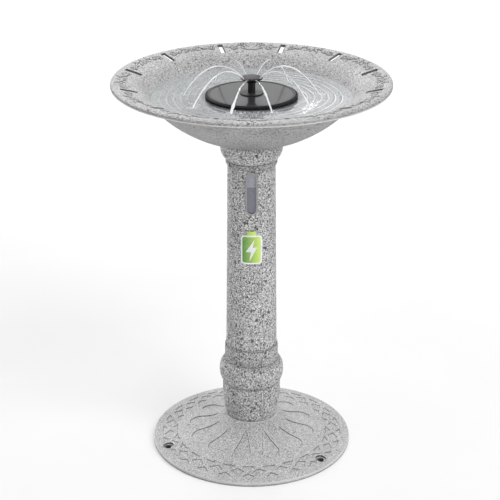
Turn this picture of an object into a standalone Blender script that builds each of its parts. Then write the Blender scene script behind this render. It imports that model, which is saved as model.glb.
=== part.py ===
"""Solar fountain bird bath: a domed base plate, a hollow column that holds ballast water behind a
sight window, a wide basin with a slotted rim, and a floating solar pump with a spray nozzle.

All sizes are in metres. +Z is up and the origin is at the centre of the base plate's foot ring.
Angles are measured about Z from the front (-Y) towards +X.
"""

import math

import bmesh
import bpy
from mathutils import Matrix, Vector

# ---------------------------------------------------------------- clearances
GAP = 0.0003  # between pieces that touch
RUN_GAP = 0.0005  # between pieces that turn or slide on each other

# ---------------------------------------------------------------- facets
LARGE_STEPS = 48
MEDIUM_STEPS = 32
SMALL_STEPS = 20

# ---------------------------------------------------------------- base plate
BASE_R = 0.190
BASE_H = 0.056  # up to the seat that the column stands on
BASE_EDGE_H = 0.0085
BASE_WALL = 0.003
BASE_FOOT_W = 0.0075  # flat ring that rests on the ground
HUB_SEAT_R = 0.0515
DOME_CURVE = (  # share of the way in from the edge, share of the rise
    (0.00, 0.00),
    (0.13, 0.06),
    (0.29, 0.14),
    (0.47, 0.24),
    (0.65, 0.375),
    (0.80, 0.54),
    (0.905, 0.74),
    (1.00, 1.00),
)
STAKE_COUNT = 3
STAKE_CIRCLE_R = 0.170
STAKE_ANGLE = math.radians(50.5)
STAKE_HOLE_R = 0.005
STAKE_SINK_R = 0.010
STAKE_SINK_FLOOR = 0.0060
STAKE_BOSS_WALL = 0.0035

# ---------------------------------------------------------------- twist locks
# The column stands in the base, and the basin on the column, each by a spigot with lugs that pass
# down grooves in a collar and turn under it.
LUG_COUNT = 3
LUG_W = 0.010
LUG_H = 0.0045
LUG_REACH = 0.003
LOCK_TURN = math.radians(30)
BASE_COLLAR_R = 0.034
BASE_COLLAR_H = 0.026
BASIN_COLLAR_R = 0.0325
BASIN_COLLAR_H = 0.014
COLLAR_WALL = 0.0055

# ---------------------------------------------------------------- column
FOOT_H = 0.1162
FOOT_R = 0.0486
CUP_R = 0.0548
CREASE_R = 0.0535
BEAD_R = 0.0608
FOOT_NECK_R = 0.0486
FOOT_WALL = 0.004
TENON_H = 0.018  # plugs up into the tube

TUBE_H = 0.4022
TUBE_BOTTOM_R = 0.0484
TUBE_TOP_R = 0.0437
TUBE_WALL = 0.003
CUFF_H = 0.031
CUFF_R = 0.0503
LIP_H = 0.0075
LIP_R = 0.0471
LIP_RECESS = 0.004

SEAL_R = 0.0011  # half the thickness of each sealing ring

TANK_WALL = 0.0015
TANK_BOTTOM_RISE = 0.010  # above the top of the tenon
TANK_FLANGE_H = 0.003

BULB_H = 0.0372
BULB_R = 0.0576
BULB_BOTTOM_R = 0.0461
BULB_TOP_R = 0.0545
BULB_PLUG_H = 0.023

# ---------------------------------------------------------------- sight window
WINDOW_DROP = 0.054  # from the top of the tube to the middle of the window
WINDOW_W = 0.016
WINDOW_H = 0.077
BEZEL_LIP = 0.0015  # how far the bezel covers the pane all round
BEZEL_WALL = 0.0012
BEZEL_PROUD = 0.0006
BEZEL_FLANGE_T = 0.0015
GASKET_T = 0.0008
PANE_T = 0.002
RETAINER_T = 0.0015

# ---------------------------------------------------------------- battery label
LABEL_W = 0.039
LABEL_H = 0.056
LABEL_DROP = 0.162  # from the top of the tube to the middle of the label's body
LABEL_CORNER_R = 0.006
LABEL_TAB_W = 0.016
LABEL_TAB_H = 0.008
LABEL_T = 0.0004

# ---------------------------------------------------------------- basin
BASIN_R = 0.250
BASIN_WALL = 0.004
BASIN_SEAT_R = 0.0555
BOWL_RISE = 0.1104  # from the seat to the crest of the rim
LIP_FALL = 0.0086  # from the crest to the edge of the turned-down lip
BOWL_CURVE = (  # radius as a share of the rim, height as a share of the rise: the underside
    (0.252, 0.005),
    (0.338, 0.059),
    (0.398, 0.113),
    (0.448, 0.168),
    (0.529, 0.276),
    (0.600, 0.390),
    (0.660, 0.507),
    (0.712, 0.628),
    (0.760, 0.762),
    (0.820, 0.873),
    (0.944, 0.958),
)
SLOT_COUNT = 12
SLOT_W = 0.009
SLOT_INNER_R = 0.206
SLOT_OUTER_R = 0.236
FLOOR_BOSS_R = 0.036
FLOOR_BOSS_H = 0.0082
SPIGOT_FLANGE_T = 0.0024
SPIGOT_LENGTH = 0.0225
SPIGOT_WALL = 0.0035
SPIGOT_SCREW_CIRCLE_R = 0.022

# ---------------------------------------------------------------- floating fountain
WATER_DEPTH = 0.0778  # from the basin's seat to the water
FLOAT_R = 0.0825
FLOAT_FREEBOARD = 0.0062  # how far the float's top stands out of the water
FLOAT_H = 0.0180
FLOAT_WALL = 0.002
BUMPER_T = 0.0030
BUMPER_H = 0.0135
BUMPER_RIBS = 48
BUMPER_RIB_DEPTH = 0.0012
PANEL_R = 0.0742
PANEL_T = 0.0035
PANEL_RECESS = 0.0005
HUB_R = 0.0205
HUB_PROUD = 0.0015
HUB_TUBE_WALL = 0.002
CASE_SCREW_CIRCLE_R = 0.066

FOAM_INNER_R = 0.056
FOAM_H = 0.0075
CELL_SIZE = (0.024, 0.034, 0.0075)
CELL_X = -0.0365
BOARD_SIZE = (0.022, 0.030, 0.0016)
BOARD_X = 0.0370
BOARD_POST_H = 0.0020

# ---------------------------------------------------------------- pump
PUMP_R = 0.0200
PUMP_H = 0.0290
PUMP_WALL = 0.0015
WELL_R = 0.0095
WELL_WALL = 0.0012
OUTLET_R = 0.0035
STATOR_H = 0.0160
MAGNET_R = 0.0078
MAGNET_H = 0.0122
MAGNET_BORE_R = 0.0030
IMPELLER_R = 0.0088
IMPELLER_H = 0.0060
BLADE_T = 0.0012
BLADE_COUNT = 5
SHAFT_R = 0.0010
INLET_T = 0.0022
INLET_R = 0.0070
FILTER_H = 0.0095
STRAINER_WALL = 0.0014
STRAINER_RUN = 0.0120  # how far the strainer laps up over the pump
STRAINER_SLOTS = 12
STRAINER_SLOT_W = 0.003
BRIDGE_DROP = 0.0065  # from the top of the pump to the underside of the shaft's upper bearing
BRIDGE_H = 0.0020
BUTTON_R = 0.0045
BUTTON_FLANGE_W = 0.0015
BUTTON_CIRCLE_R = 0.0460
BUTTON_PROUD = 0.0014

# ---------------------------------------------------------------- nozzle
RISER_R = 0.0066
RISER_BORE_R = 0.0040
RISER_SINK = 0.0110  # how much of the riser stands in the hub
RISER_RISE = 0.0225  # how much of it stands above the hub
CAP_R = 0.0198
CAP_H = 0.0070  # from the end of the riser to the middle of the cap
CAP_RIM_T = 0.0016
CAP_DOME_H = 0.0022
CAP_PLATE_T = 0.0018
CAP_LAP = 0.0043  # how far the cap's socket laps down over the riser
CAP_SOCKET_WALL = 0.0014
JET_ANGLES = tuple(math.radians(a) for a in (20, 57, 95, 145))  # on each side
JET_HOLE_R = 0.0011
JET_CIRCLE_R = 0.0150

# ---------------------------------------------------------------- screws
SCREW_SHANK_R = 0.0015
SCREW_HEAD_R = 0.0028
SCREW_HEAD_H = 0.0018

# ---------------------------------------------------------------- levels worked out from the sizes
FOOT_Z = BASE_H + GAP
FOOT_TOP_Z = FOOT_Z + FOOT_H
TUBE_Z = FOOT_TOP_Z + GAP
TUBE_TOP_Z = TUBE_Z + TUBE_H
BULB_Z = TUBE_TOP_Z + GAP
BULB_TOP_Z = BULB_Z + BULB_H
SEAT_Z = BULB_TOP_Z + GAP  # the basin's underside, where it stands on the column
FLOOR_Z = SEAT_Z + BASIN_WALL
CREST_Z = SEAT_Z + BOWL_RISE
WATER_Z = SEAT_Z + WATER_DEPTH
FLOAT_TOP_Z = WATER_Z + FLOAT_FREEBOARD
FLOAT_BOTTOM_Z = FLOAT_TOP_Z - FLOAT_H
HUB_TOP_Z = FLOAT_TOP_Z + HUB_PROUD
HOUSING_R = FLOAT_R - BUMPER_T
SHELF_Z = FLOAT_TOP_Z - PANEL_RECESS - PANEL_T - GAP
COVER_TOP_Z = FLOAT_BOTTOM_Z + FLOAT_WALL
PUMP_TOP_Z = FLOAT_BOTTOM_Z - GAP
PUMP_BOTTOM_Z = PUMP_TOP_Z - PUMP_H
INLET_Z = PUMP_BOTTOM_Z - GAP - INLET_T
CAP_Z = HUB_TOP_Z + RISER_RISE  # top of the riser


# ================================================================ helpers
def clear_scene():
    for obj in list(bpy.data.objects):
        bpy.data.objects.remove(obj)


def new_collection(name):
    collection = bpy.data.collections.new(name)
    bpy.context.scene.collection.children.link(collection)
    return collection


def new_material(name, colour, roughness, metallic=0.0, transmission=0.0):
    material = bpy.data.materials.new(name)
    material.use_nodes = True
    shader = material.node_tree.nodes["Principled BSDF"]
    shader.inputs["Base Color"].default_value = (*colour, 1.0)
    shader.inputs["Roughness"].default_value = roughness
    shader.inputs["Metallic"].default_value = metallic
    shader.inputs["Transmission Weight"].default_value = transmission
    return material


clear_scene()
PARTS = new_collection("bird_bath")
CUTTERS = new_collection("bird_bath_cutters")

GRANITE = new_material("granite_resin", (0.42, 0.42, 0.42), 0.75)
GREY_PLASTIC = new_material("grey_plastic", (0.35, 0.35, 0.36), 0.5)
CLEAR_PLASTIC = new_material("clear_plastic", (0.8, 0.85, 0.9), 0.1, transmission=0.8)
BLACK_PLASTIC = new_material("black_plastic", (0.02, 0.02, 0.02), 0.45)
RUBBER = new_material("rubber", (0.03, 0.03, 0.03), 0.8)
PANEL_GLASS = new_material("panel_glass", (0.05, 0.05, 0.07), 0.15)
STEEL = new_material("steel", (0.6, 0.6, 0.62), 0.3, metallic=1.0)
FOAM = new_material("foam", (0.1, 0.1, 0.1), 0.95)
MAGNET = new_material("magnet", (0.12, 0.12, 0.12), 0.5)
COPPER = new_material("copper", (0.7, 0.35, 0.2), 0.35, metallic=1.0)
CELL_WRAP = new_material("cell_wrap", (0.1, 0.3, 0.6), 0.4)
BOARD_GREEN = new_material("board_green", (0.02, 0.2, 0.06), 0.5)
LABEL_GREEN = new_material("label_green", (0.3, 0.7, 0.1), 0.4)


def round_point(radius, angle, height=0.0):
    """The point at this radius and angle from the front, measured towards +X."""
    return Vector((radius * math.sin(angle), -radius * math.cos(angle), height))


def spread(count, start=0.0):
    """Equally spaced angles about Z."""
    return [start + 2 * math.pi * index / count for index in range(count)]


def add_piece(name, mesh, material, axis=None):
    """Links a part and hangs it on the empty that marks its joint's axis, in world coordinates."""
    piece = bpy.data.objects.new(name, mesh)
    PARTS.objects.link(piece)
    mesh.materials.append(material)
    if axis is not None:
        piece.parent = axis
        piece.matrix_parent_inverse = Matrix.Translation(-axis.location)
    return piece


def add_cutter(name, mesh):
    cutter = bpy.data.objects.new(name, mesh)
    CUTTERS.objects.link(cutter)
    cutter.hide_render = True
    cutter.display_type = "WIRE"
    return cutter


def add_axis(name, location=(0, 0, 0)):
    """An empty on a joint's axis."""
    axis = bpy.data.objects.new(name, None)
    axis.location = location
    axis.empty_display_size = 0.03
    PARTS.objects.link(axis)
    return axis


def combine(target, tool, operation):
    modifier = target.modifiers.new(f"{operation.lower()}_{tool.name}", "BOOLEAN")
    modifier.operation = operation
    modifier.object = tool


def cut(target, *tools):
    for tool in tools:
        combine(target, tool, "DIFFERENCE")


def join(target, *tools):
    for tool in tools:
        combine(target, tool, "UNION")


def profile_mesh(name, points, closed):
    """A wire in the XZ plane, for a Screw modifier to turn. It runs down the outer side."""
    mesh = bpy.data.meshes.new(name)
    count = len(points)
    edges = [(index, index + 1) for index in range(count - 1)]
    if closed:
        edges.append((count - 1, 0))
    mesh.from_pydata([(r, 0.0, z) for r, z in points], edges, [])
    return mesh


def turn(piece, steps):
    screw = piece.modifiers.new("turn", "SCREW")
    screw.axis = "Z"
    screw.steps = steps
    screw.render_steps = steps
    screw.use_merge_vertices = True
    screw.merge_threshold = 0.00005
    screw.use_smooth_shade = True
    return piece


def turned(name, points, steps, material, axis=None):
    """A turned piece. A profile that starts and ends on the axis is solid; any other is a ring."""
    ring = points[0][0] > 0
    return turn(add_piece(name, profile_mesh(name, points, ring), material, axis), steps)


def turned_cutter(name, points, steps):
    ring = points[0][0] > 0
    return turn(add_cutter(name, profile_mesh(name, points, ring)), steps)


def ring_profile(inner_r, outer_r, low_z, high_z):
    return [(inner_r, high_z), (outer_r, high_z), (outer_r, low_z), (inner_r, low_z)]


def disc_profile(outer_r, low_z, high_z):
    return [(0.0, high_z), (outer_r, high_z), (outer_r, low_z), (0.0, low_z)]


def arc(centre_r, centre_z, radius, start, end, count):
    """Points on an arc in the profile plane, from start to end in degrees, 0 pointing outwards."""
    angles = [math.radians(start + (end - start) * i / count) for i in range(count + 1)]
    return [(centre_r + radius * math.cos(a), centre_z + radius * math.sin(a)) for a in angles]


def offset_profile(points, distance):
    """The profile moved sideways by distance, to the right of the way it runs."""
    moved = []
    for index, point in enumerate(points):
        before = Vector(points[max(index - 1, 0)])
        after = Vector(points[min(index + 1, len(points) - 1)])
        along = (after - before).normalized()
        moved.append((point[0] + along.y * distance, point[1] - along.x * distance))
    return moved


def box_into(mesh_builder, size, centre, angle=0.0):
    """Adds a box to a bmesh, turned about Z by angle before it is moved to its centre."""
    matrix = (
        Matrix.Translation(centre)
        @ Matrix.Rotation(angle, 4, "Z")
        @ Matrix.Diagonal((*size, 1.0))
    )
    bmesh.ops.create_cube(mesh_builder, size=1.0, matrix=matrix)


def cylinder_into(mesh_builder, radius, low_z, high_z, centre, sides):
    middle = Vector((centre[0], centre[1], (low_z + high_z) / 2))
    bmesh.ops.create_cone(
        mesh_builder,
        cap_ends=True,
        segments=sides,
        radius1=radius,
        radius2=radius,
        depth=high_z - low_z,
        matrix=Matrix.Translation(middle),
    )


def built_mesh(name, fill):
    """A mesh made by the function fill, which draws into a bmesh."""
    builder = bmesh.new()
    fill(builder)
    mesh = bpy.data.meshes.new(name)
    builder.to_mesh(mesh)
    builder.free()
    return mesh


def plate_mesh(name, outlines, thickness):
    """A flat plate in the XY plane: the first outline is its edge and the others are holes."""
    curve = bpy.data.curves.new(name + "_outline", "CURVE")
    curve.dimensions = "2D"
    curve.fill_mode = "BOTH"
    curve.extrude = thickness / 2
    for outline in outlines:
        spline = curve.splines.new("POLY")
        spline.points.add(len(outline) - 1)
        for spline_point, (x, y) in zip(spline.points, outline):
            spline_point.co = (x, y, 0.0, 1.0)
        spline.use_cyclic_u = True
    flat = bpy.data.objects.new(name + "_outline", curve)
    bpy.context.scene.collection.objects.link(flat)
    graph = bpy.context.evaluated_depsgraph_get()
    mesh = bpy.data.meshes.new_from_object(flat.evaluated_get(graph))
    mesh.name = name
    bpy.data.objects.remove(flat)
    builder = bmesh.new()
    builder.from_mesh(mesh)
    bmesh.ops.remove_doubles(builder, verts=builder.verts, dist=0.00002)
    bmesh.ops.recalc_face_normals(builder, faces=builder.faces)
    builder.to_mesh(mesh)
    builder.free()
    return mesh


def pill_outline(width, height, steps=8):
    """A slot shape with round ends, standing along Y."""
    radius = width / 2
    reach = height / 2 - radius
    points = []
    for side, start in ((1, 0.0), (-1, math.pi)):
        for index in range(steps + 1):
            angle = start + math.pi * index / steps
            points.append((radius * math.cos(angle), side * reach + radius * math.sin(angle)))
    return points


def circle_outline(radius, sides):
    return [(radius * math.cos(a), radius * math.sin(a)) for a in spread(sides)]


def upright(mesh, depth, height):
    """Stands a plate up to face the front, with its middle plane at Y = depth."""
    mesh.transform(Matrix.Translation((0, depth, height)) @ Matrix.Rotation(math.pi / 2, 4, "X"))
    return mesh


def lugs_mesh(name, spigot_r, low_z, high_z):
    """The lugs of a twist lock, which start inside the spigot's wall."""

    def fill(builder):
        inner = spigot_r - 0.0015
        outer = spigot_r + LUG_REACH
        for angle in spread(LUG_COUNT):
            centre = round_point((inner + outer) / 2, angle, (low_z + high_z) / 2)
            box_into(builder, (LUG_W, outer - inner, high_z - low_z), centre, angle)

    return built_mesh(name, fill)


def groove_cutter(name, bore_r, low_z, high_z):
    """Cuts the grooves that let the lugs pass a collar, LOCK_TURN away from where they rest."""

    def fill(builder):
        inner = bore_r - 0.004
        outer = bore_r + LUG_REACH + RUN_GAP
        for angle in spread(LUG_COUNT, LOCK_TURN):
            centre = round_point((inner + outer) / 2, angle, (low_z + high_z) / 2)
            size = (LUG_W + 2 * RUN_GAP, outer - inner, high_z - low_z + 0.002)
            box_into(builder, size, centre, angle)

    return add_cutter(name, built_mesh(name, fill))


def screw_piece(name, centre, head_z, shank_h, heads_down, material, axis):
    """A pan-head screw. Its head lies beyond head_z and its shank runs the other way."""
    way = 1 if heads_down else -1
    points = [
        (0.0, head_z + way * shank_h),
        (SCREW_SHANK_R, head_z + way * shank_h),
        (SCREW_SHANK_R, head_z),
        (SCREW_HEAD_R, head_z),
        (SCREW_HEAD_R * 0.9, head_z - way * SCREW_HEAD_H),
        (0.0, head_z - way * SCREW_HEAD_H),
    ]
    if not heads_down:
        points.reverse()
    screw = turned(name, points, 12, material, axis)
    screw.location = (centre[0], centre[1], 0.0)
    return screw


# ================================================================ base plate
def dome_points():
    """The top of the base plate, from the seat of the column out to the edge."""
    run = BASE_R - HUB_SEAT_R
    rise = BASE_H - BASE_EDGE_H
    return [(BASE_R - run * t, BASE_EDGE_H + rise * h) for t, h in reversed(DOME_CURVE)]


def build_base():
    collar_outer_r = BASE_COLLAR_R + COLLAR_WALL
    collar_low_z = BASE_H - BASE_COLLAR_H
    dome = dome_points()
    edge = arc(BASE_R - 0.002, BASE_EDGE_H - 0.002, 0.002, 90, 0, 3)
    foot_inner_r = BASE_R - BASE_FOOT_W
    under = [
        p for p in offset_profile(dome, BASE_WALL) if HUB_SEAT_R < p[0] < foot_inner_r - 0.002
    ]
    under.reverse()
    profile = [
        (BASE_COLLAR_R, BASE_H),
        *dome[:-1],
        *edge,
        (BASE_R, 0.001),
        (BASE_R - 0.001, 0.0),
        (foot_inner_r, 0.0),
        (foot_inner_r, BASE_EDGE_H - BASE_WALL),
        *under,
        (HUB_SEAT_R - BASE_WALL, BASE_H - BASE_WALL),
        (collar_outer_r, BASE_H - BASE_WALL),
        (collar_outer_r, collar_low_z),
        (BASE_COLLAR_R, collar_low_z),
    ]
    base = turned("base_plate", profile, LARGE_STEPS, GRANITE)

    stakes = [round_point(STAKE_CIRCLE_R, a) for a in spread(STAKE_COUNT, STAKE_ANGLE)]
    boss_r = STAKE_SINK_R + STAKE_BOSS_WALL

    def bosses(builder):
        for stake in stakes:
            cylinder_into(builder, boss_r, 0.0, BASE_H, stake, 16)

    def sinks(builder):
        for stake in stakes:
            cylinder_into(builder, STAKE_SINK_R, STAKE_SINK_FLOOR, BASE_H, stake, 16)

    def holes(builder):
        for stake in stakes:
            cylinder_into(builder, STAKE_HOLE_R, -0.01, BASE_H, stake, 12)

    inside = offset_profile(dome, BASE_WALL / 2)
    core_points = [(0.0, inside[0][1]), *inside[:-1], (BASE_R - 0.001, inside[-1][1])]
    core_points += [(BASE_R - 0.001, -0.01), (0.0, -0.01)]
    dome_core = turned_cutter("dome_core", core_points, LARGE_STEPS)
    boss = add_cutter("stake_bosses", built_mesh("stake_bosses", bosses))
    combine(boss, dome_core, "INTERSECT")
    join(base, boss)
    cut(
        base,
        add_cutter("stake_sinks", built_mesh("stake_sinks", sinks)),
        add_cutter("stake_holes", built_mesh("stake_holes", holes)),
        groove_cutter("base_grooves", BASE_COLLAR_R, collar_low_z, BASE_H),
    )


# ================================================================ column
def shaft_r(height):
    """Outer radius of the column's plain shaft at a height."""
    share = (height - TUBE_Z) / TUBE_H
    return TUBE_BOTTOM_R + (TUBE_TOP_R - TUBE_BOTTOM_R) * min(max(share, 0.0), 1.0) ** 0.85


def foot_outline():
    """Outer side of the column's foot, from its neck down past the bead to its bottom."""
    shape = (  # share of the height, radius
        (1.000, FOOT_NECK_R),
        (0.990, FOOT_NECK_R + 0.0040),
        (0.975, BEAD_R - 0.0063),
        (0.930, BEAD_R - 0.0022),
        (0.865, BEAD_R - 0.0003),
        (0.789, BEAD_R),
        (0.720, BEAD_R - 0.0010),
        (0.655, BEAD_R - 0.0036),
        (0.615, CREASE_R),
        (0.575, CUP_R),
        (0.440, CUP_R),
        (0.286, CUP_R - 0.0010),
        (0.170, CUP_R - 0.0029),
        (0.075, CUP_R - 0.0047),
        (0.000, FOOT_R),
    )
    return [(r, FOOT_Z + FOOT_H * share) for share, r in shape]


def build_foot(axis):
    spigot_r = BASE_COLLAR_R - RUN_GAP
    lug_top_z = BASE_H - BASE_COLLAR_H - RUN_GAP
    lug_low_z = lug_top_z - LUG_H
    tenon_r = shaft_r(TUBE_Z) - TUBE_WALL - GAP
    tenon_top_z = FOOT_TOP_Z + TENON_H
    tenon_bore_r = tenon_r - FOOT_WALL
    spigot_bore_r = spigot_r - FOOT_WALL
    outer = foot_outline()
    inner = [(r - FOOT_WALL, z) for r, z in outer[4:-2:2]]
    groove_z = FOOT_TOP_Z + TENON_H / 2
    groove_r = tenon_r - 2 * SEAL_R - GAP
    groove_half = SEAL_R + GAP
    profile = [
        (tenon_bore_r, tenon_top_z),
        (tenon_r, tenon_top_z),
        (tenon_r, groove_z + groove_half),
        (groove_r, groove_z + groove_half),
        (groove_r, groove_z - groove_half),
        (tenon_r, groove_z - groove_half),
        (tenon_r, FOOT_TOP_Z),
        *outer,
        (spigot_r, FOOT_Z),
        (spigot_r, lug_low_z),
        (spigot_bore_r, lug_low_z),
        (spigot_bore_r, FOOT_Z + FOOT_WALL),
        *reversed(inner),
        (tenon_bore_r, FOOT_TOP_Z - FOOT_WALL),
    ]
    foot = turned("column_foot", profile, MEDIUM_STEPS, GRANITE, axis)
    lugs = lugs_mesh("foot_lugs", spigot_r, lug_low_z, lug_top_z)
    join(foot, add_cutter("foot_lugs", lugs))
    seal_points = arc(groove_r + GAP + SEAL_R, groove_z, SEAL_R, 90, -210, 5)
    turned("foot_seal", seal_points, MEDIUM_STEPS, RUBBER, axis)


def window_z():
    return TUBE_TOP_Z - WINDOW_DROP


def bezel_face_y():
    return -(shaft_r(window_z()) + BEZEL_PROUD)


def bezel_size():
    grow = 2 * (BEZEL_LIP + BEZEL_WALL)
    return WINDOW_W + grow, WINDOW_H + grow


def bezel_back_y():
    depth = BEZEL_FLANGE_T + GASKET_T + PANE_T + RETAINER_T + 3 * GAP
    return bezel_face_y() + depth


def tank_r():
    """The tank just clears the back of the window."""
    return -bezel_back_y() - 2 * RUN_GAP


def build_tube(axis):
    lip_low_z = TUBE_TOP_Z - LIP_H
    cuff_top_z = TUBE_Z + CUFF_H
    taper = [TUBE_Z + TUBE_H * share for share in (0.90, 0.60, 0.30, 0.12)]
    recess_r = LIP_R - TUBE_WALL
    top_bore_r = TUBE_TOP_R - TUBE_WALL
    profile = [
        (recess_r, TUBE_TOP_Z),
        (LIP_R - 0.0006, TUBE_TOP_Z),
        (LIP_R, TUBE_TOP_Z - 0.0006),
        (LIP_R, lip_low_z),
        (shaft_r(lip_low_z - 0.004), lip_low_z - 0.004),
        *[(shaft_r(z), z) for z in taper],
        (shaft_r(cuff_top_z), cuff_top_z + 0.0012),
        (CUFF_R - 0.0006, cuff_top_z),
        (CUFF_R, cuff_top_z - 0.003),
        (CUFF_R, TUBE_Z + 0.001),
        (CUFF_R - 0.001, TUBE_Z),
        (shaft_r(TUBE_Z) - TUBE_WALL, TUBE_Z),
        *[(shaft_r(z) - TUBE_WALL, z) for z in reversed(taper)],
        (top_bore_r, lip_low_z - 0.002),
        (top_bore_r, TUBE_TOP_Z - LIP_RECESS),
        (recess_r, TUBE_TOP_Z - LIP_RECESS),
    ]
    tube = turned("column_tube", profile, MEDIUM_STEPS, GRANITE, axis)
    width, height = bezel_size()
    outline = pill_outline(width + 2 * GAP, height + 2 * GAP)
    opening = plate_mesh("window_opening", [outline], 0.03)
    middle_y = -shaft_r(window_z())
    cut(tube, add_cutter("window_opening", upright(opening, middle_y, window_z())))


def build_window(axis):
    """The bezel plugs the opening. The gasket, the pane and the retainer lie behind its flange."""
    width, height = bezel_size()
    pocket_w, pocket_h = width - 2 * BEZEL_WALL, height - 2 * BEZEL_WALL
    clear = pill_outline(WINDOW_W, WINDOW_H)
    inside = pill_outline(pocket_w - 2 * GAP, pocket_h - 2 * GAP)
    face_y, back_y = bezel_face_y(), bezel_back_y()

    bezel_t = back_y - face_y
    bezel_mesh = plate_mesh("window_bezel", [pill_outline(width, height), clear], bezel_t)
    upright(bezel_mesh, (face_y + back_y) / 2, window_z())
    bezel = add_piece("window_bezel", bezel_mesh, GREY_PLASTIC, axis)
    pocket_front_y = face_y + BEZEL_FLANGE_T
    pocket_t = back_y - pocket_front_y + 0.002
    pocket = plate_mesh("window_pocket", [pill_outline(pocket_w, pocket_h)], pocket_t)
    upright(pocket, pocket_front_y + pocket_t / 2, window_z())
    cut(bezel, add_cutter("window_pocket", pocket))

    front_y = pocket_front_y + GAP
    layers = (
        ("window_gasket", [inside, clear], GASKET_T, RUBBER),
        ("sight_window", [inside], PANE_T, CLEAR_PLASTIC),
        ("window_retainer", [inside, clear], RETAINER_T, GREY_PLASTIC),
    )
    for name, outlines, thickness, material in layers:
        mesh = plate_mesh(name, outlines, thickness)
        upright(mesh, front_y + thickness / 2, window_z())
        add_piece(name, mesh, material, axis)
        front_y += thickness + GAP


def build_tank(axis):
    """Open-topped tank for the ballast water. Its flange lies in the recess in the tube's top."""
    outer_r = tank_r()
    bottom_z = FOOT_TOP_Z + TENON_H + TANK_BOTTOM_RISE
    ledge_z = TUBE_TOP_Z - LIP_RECESS + GAP
    flange_r = LIP_R - TUBE_WALL - GAP
    profile = [
        (outer_r - TANK_WALL, ledge_z + TANK_FLANGE_H),
        (flange_r, ledge_z + TANK_FLANGE_H),
        (flange_r, ledge_z),
        (outer_r, ledge_z),
        (outer_r, bottom_z),
        (0.0, bottom_z),
    ]
    inner = [
        (0.0, bottom_z + TANK_WALL),
        (outer_r - TANK_WALL, bottom_z + TANK_WALL),
    ]
    turned("ballast_tank", [inner[0], inner[1], *profile], MEDIUM_STEPS, CLEAR_PLASTIC, axis)


def build_label(axis):
    """A thin sticker in the shape of a battery, bent round the shaft."""
    middle_z = TUBE_TOP_Z - LABEL_DROP
    reach_z = LABEL_H / 2 + LABEL_TAB_H + 0.004
    heights = [middle_z + reach_z, middle_z, middle_z - reach_z]
    near = [(shaft_r(z) + GAP, z) for z in heights]
    far = [(r + LABEL_T, z) for r, z in near]
    label = turned("battery_label", [*far, *reversed(near)], 72, LABEL_GREEN, axis)

    half_w, half_h = LABEL_W / 2, LABEL_H / 2
    corner_x, corner_y = half_w - LABEL_CORNER_R, half_h - LABEL_CORNER_R
    tab_w = LABEL_TAB_W / 2
    outline = [
        *arc(corner_x, -corner_y, LABEL_CORNER_R, -90, 0, 3),
        *arc(corner_x, corner_y, LABEL_CORNER_R, 0, 90, 3),
        (tab_w, half_h),
        (tab_w, half_h + LABEL_TAB_H),
        (-tab_w, half_h + LABEL_TAB_H),
        (-tab_w, half_h),
        *arc(-corner_x, corner_y, LABEL_CORNER_R, 90, 180, 3),
        *arc(-corner_x, -corner_y, LABEL_CORNER_R, 180, 270, 3),
    ]
    depth = 0.03
    shape = upright(plate_mesh("label_shape", [outline], depth), -shaft_r(middle_z), middle_z)
    combine(label, add_cutter("label_shape", shape), "INTERSECT")


def build_bulb(axis):
    """The collar that the basin stands on. It plugs into the tank and has the basin's twist lock."""
    plug_r = tank_r() - TANK_WALL - GAP
    plug_bore_r = plug_r - FOOT_WALL
    plug_low_z = BULB_Z - BULB_PLUG_H
    collar_low_z = BULB_TOP_Z - BASIN_COLLAR_H
    chamber_r = BASIN_COLLAR_R + LUG_REACH + 2 * RUN_GAP
    chamber_low_z = collar_low_z - LUG_H - 4 * RUN_GAP
    groove_z = BULB_Z - BULB_PLUG_H / 2
    groove_half = SEAL_R + GAP
    groove_r = plug_r - 2 * SEAL_R - GAP
    profile = [
        (BASIN_COLLAR_R, BULB_TOP_Z),
        (BULB_TOP_R, BULB_TOP_Z),
        (BULB_R, BULB_Z + 0.80 * BULB_H),
        (BULB_R - 0.0008, BULB_Z + 0.56 * BULB_H),
        (BULB_R - 0.0020, BULB_Z + 0.38 * BULB_H),
        (BULB_R - 0.0052, BULB_Z + 0.20 * BULB_H),
        (BULB_BOTTOM_R, BULB_Z),
        (plug_r, BULB_Z),
        (plug_r, groove_z + groove_half),
        (groove_r, groove_z + groove_half),
        (groove_r, groove_z - groove_half),
        (plug_r, groove_z - groove_half),
        (plug_r, plug_low_z),
        (plug_bore_r, plug_low_z),
        (plug_bore_r, chamber_low_z),
        (chamber_r, chamber_low_z),
        (chamber_r, collar_low_z),
        (BASIN_COLLAR_R, collar_low_z),
    ]
    bulb = turned("neck_bulb", profile, MEDIUM_STEPS, GRANITE, axis)
    cut(bulb, groove_cutter("bulb_grooves", BASIN_COLLAR_R, collar_low_z, BULB_TOP_Z))
    seal_points = arc(groove_r + GAP + SEAL_R, groove_z, SEAL_R, 90, -210, 5)
    turned("neck_seal", seal_points, MEDIUM_STEPS, RUBBER, axis)


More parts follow.
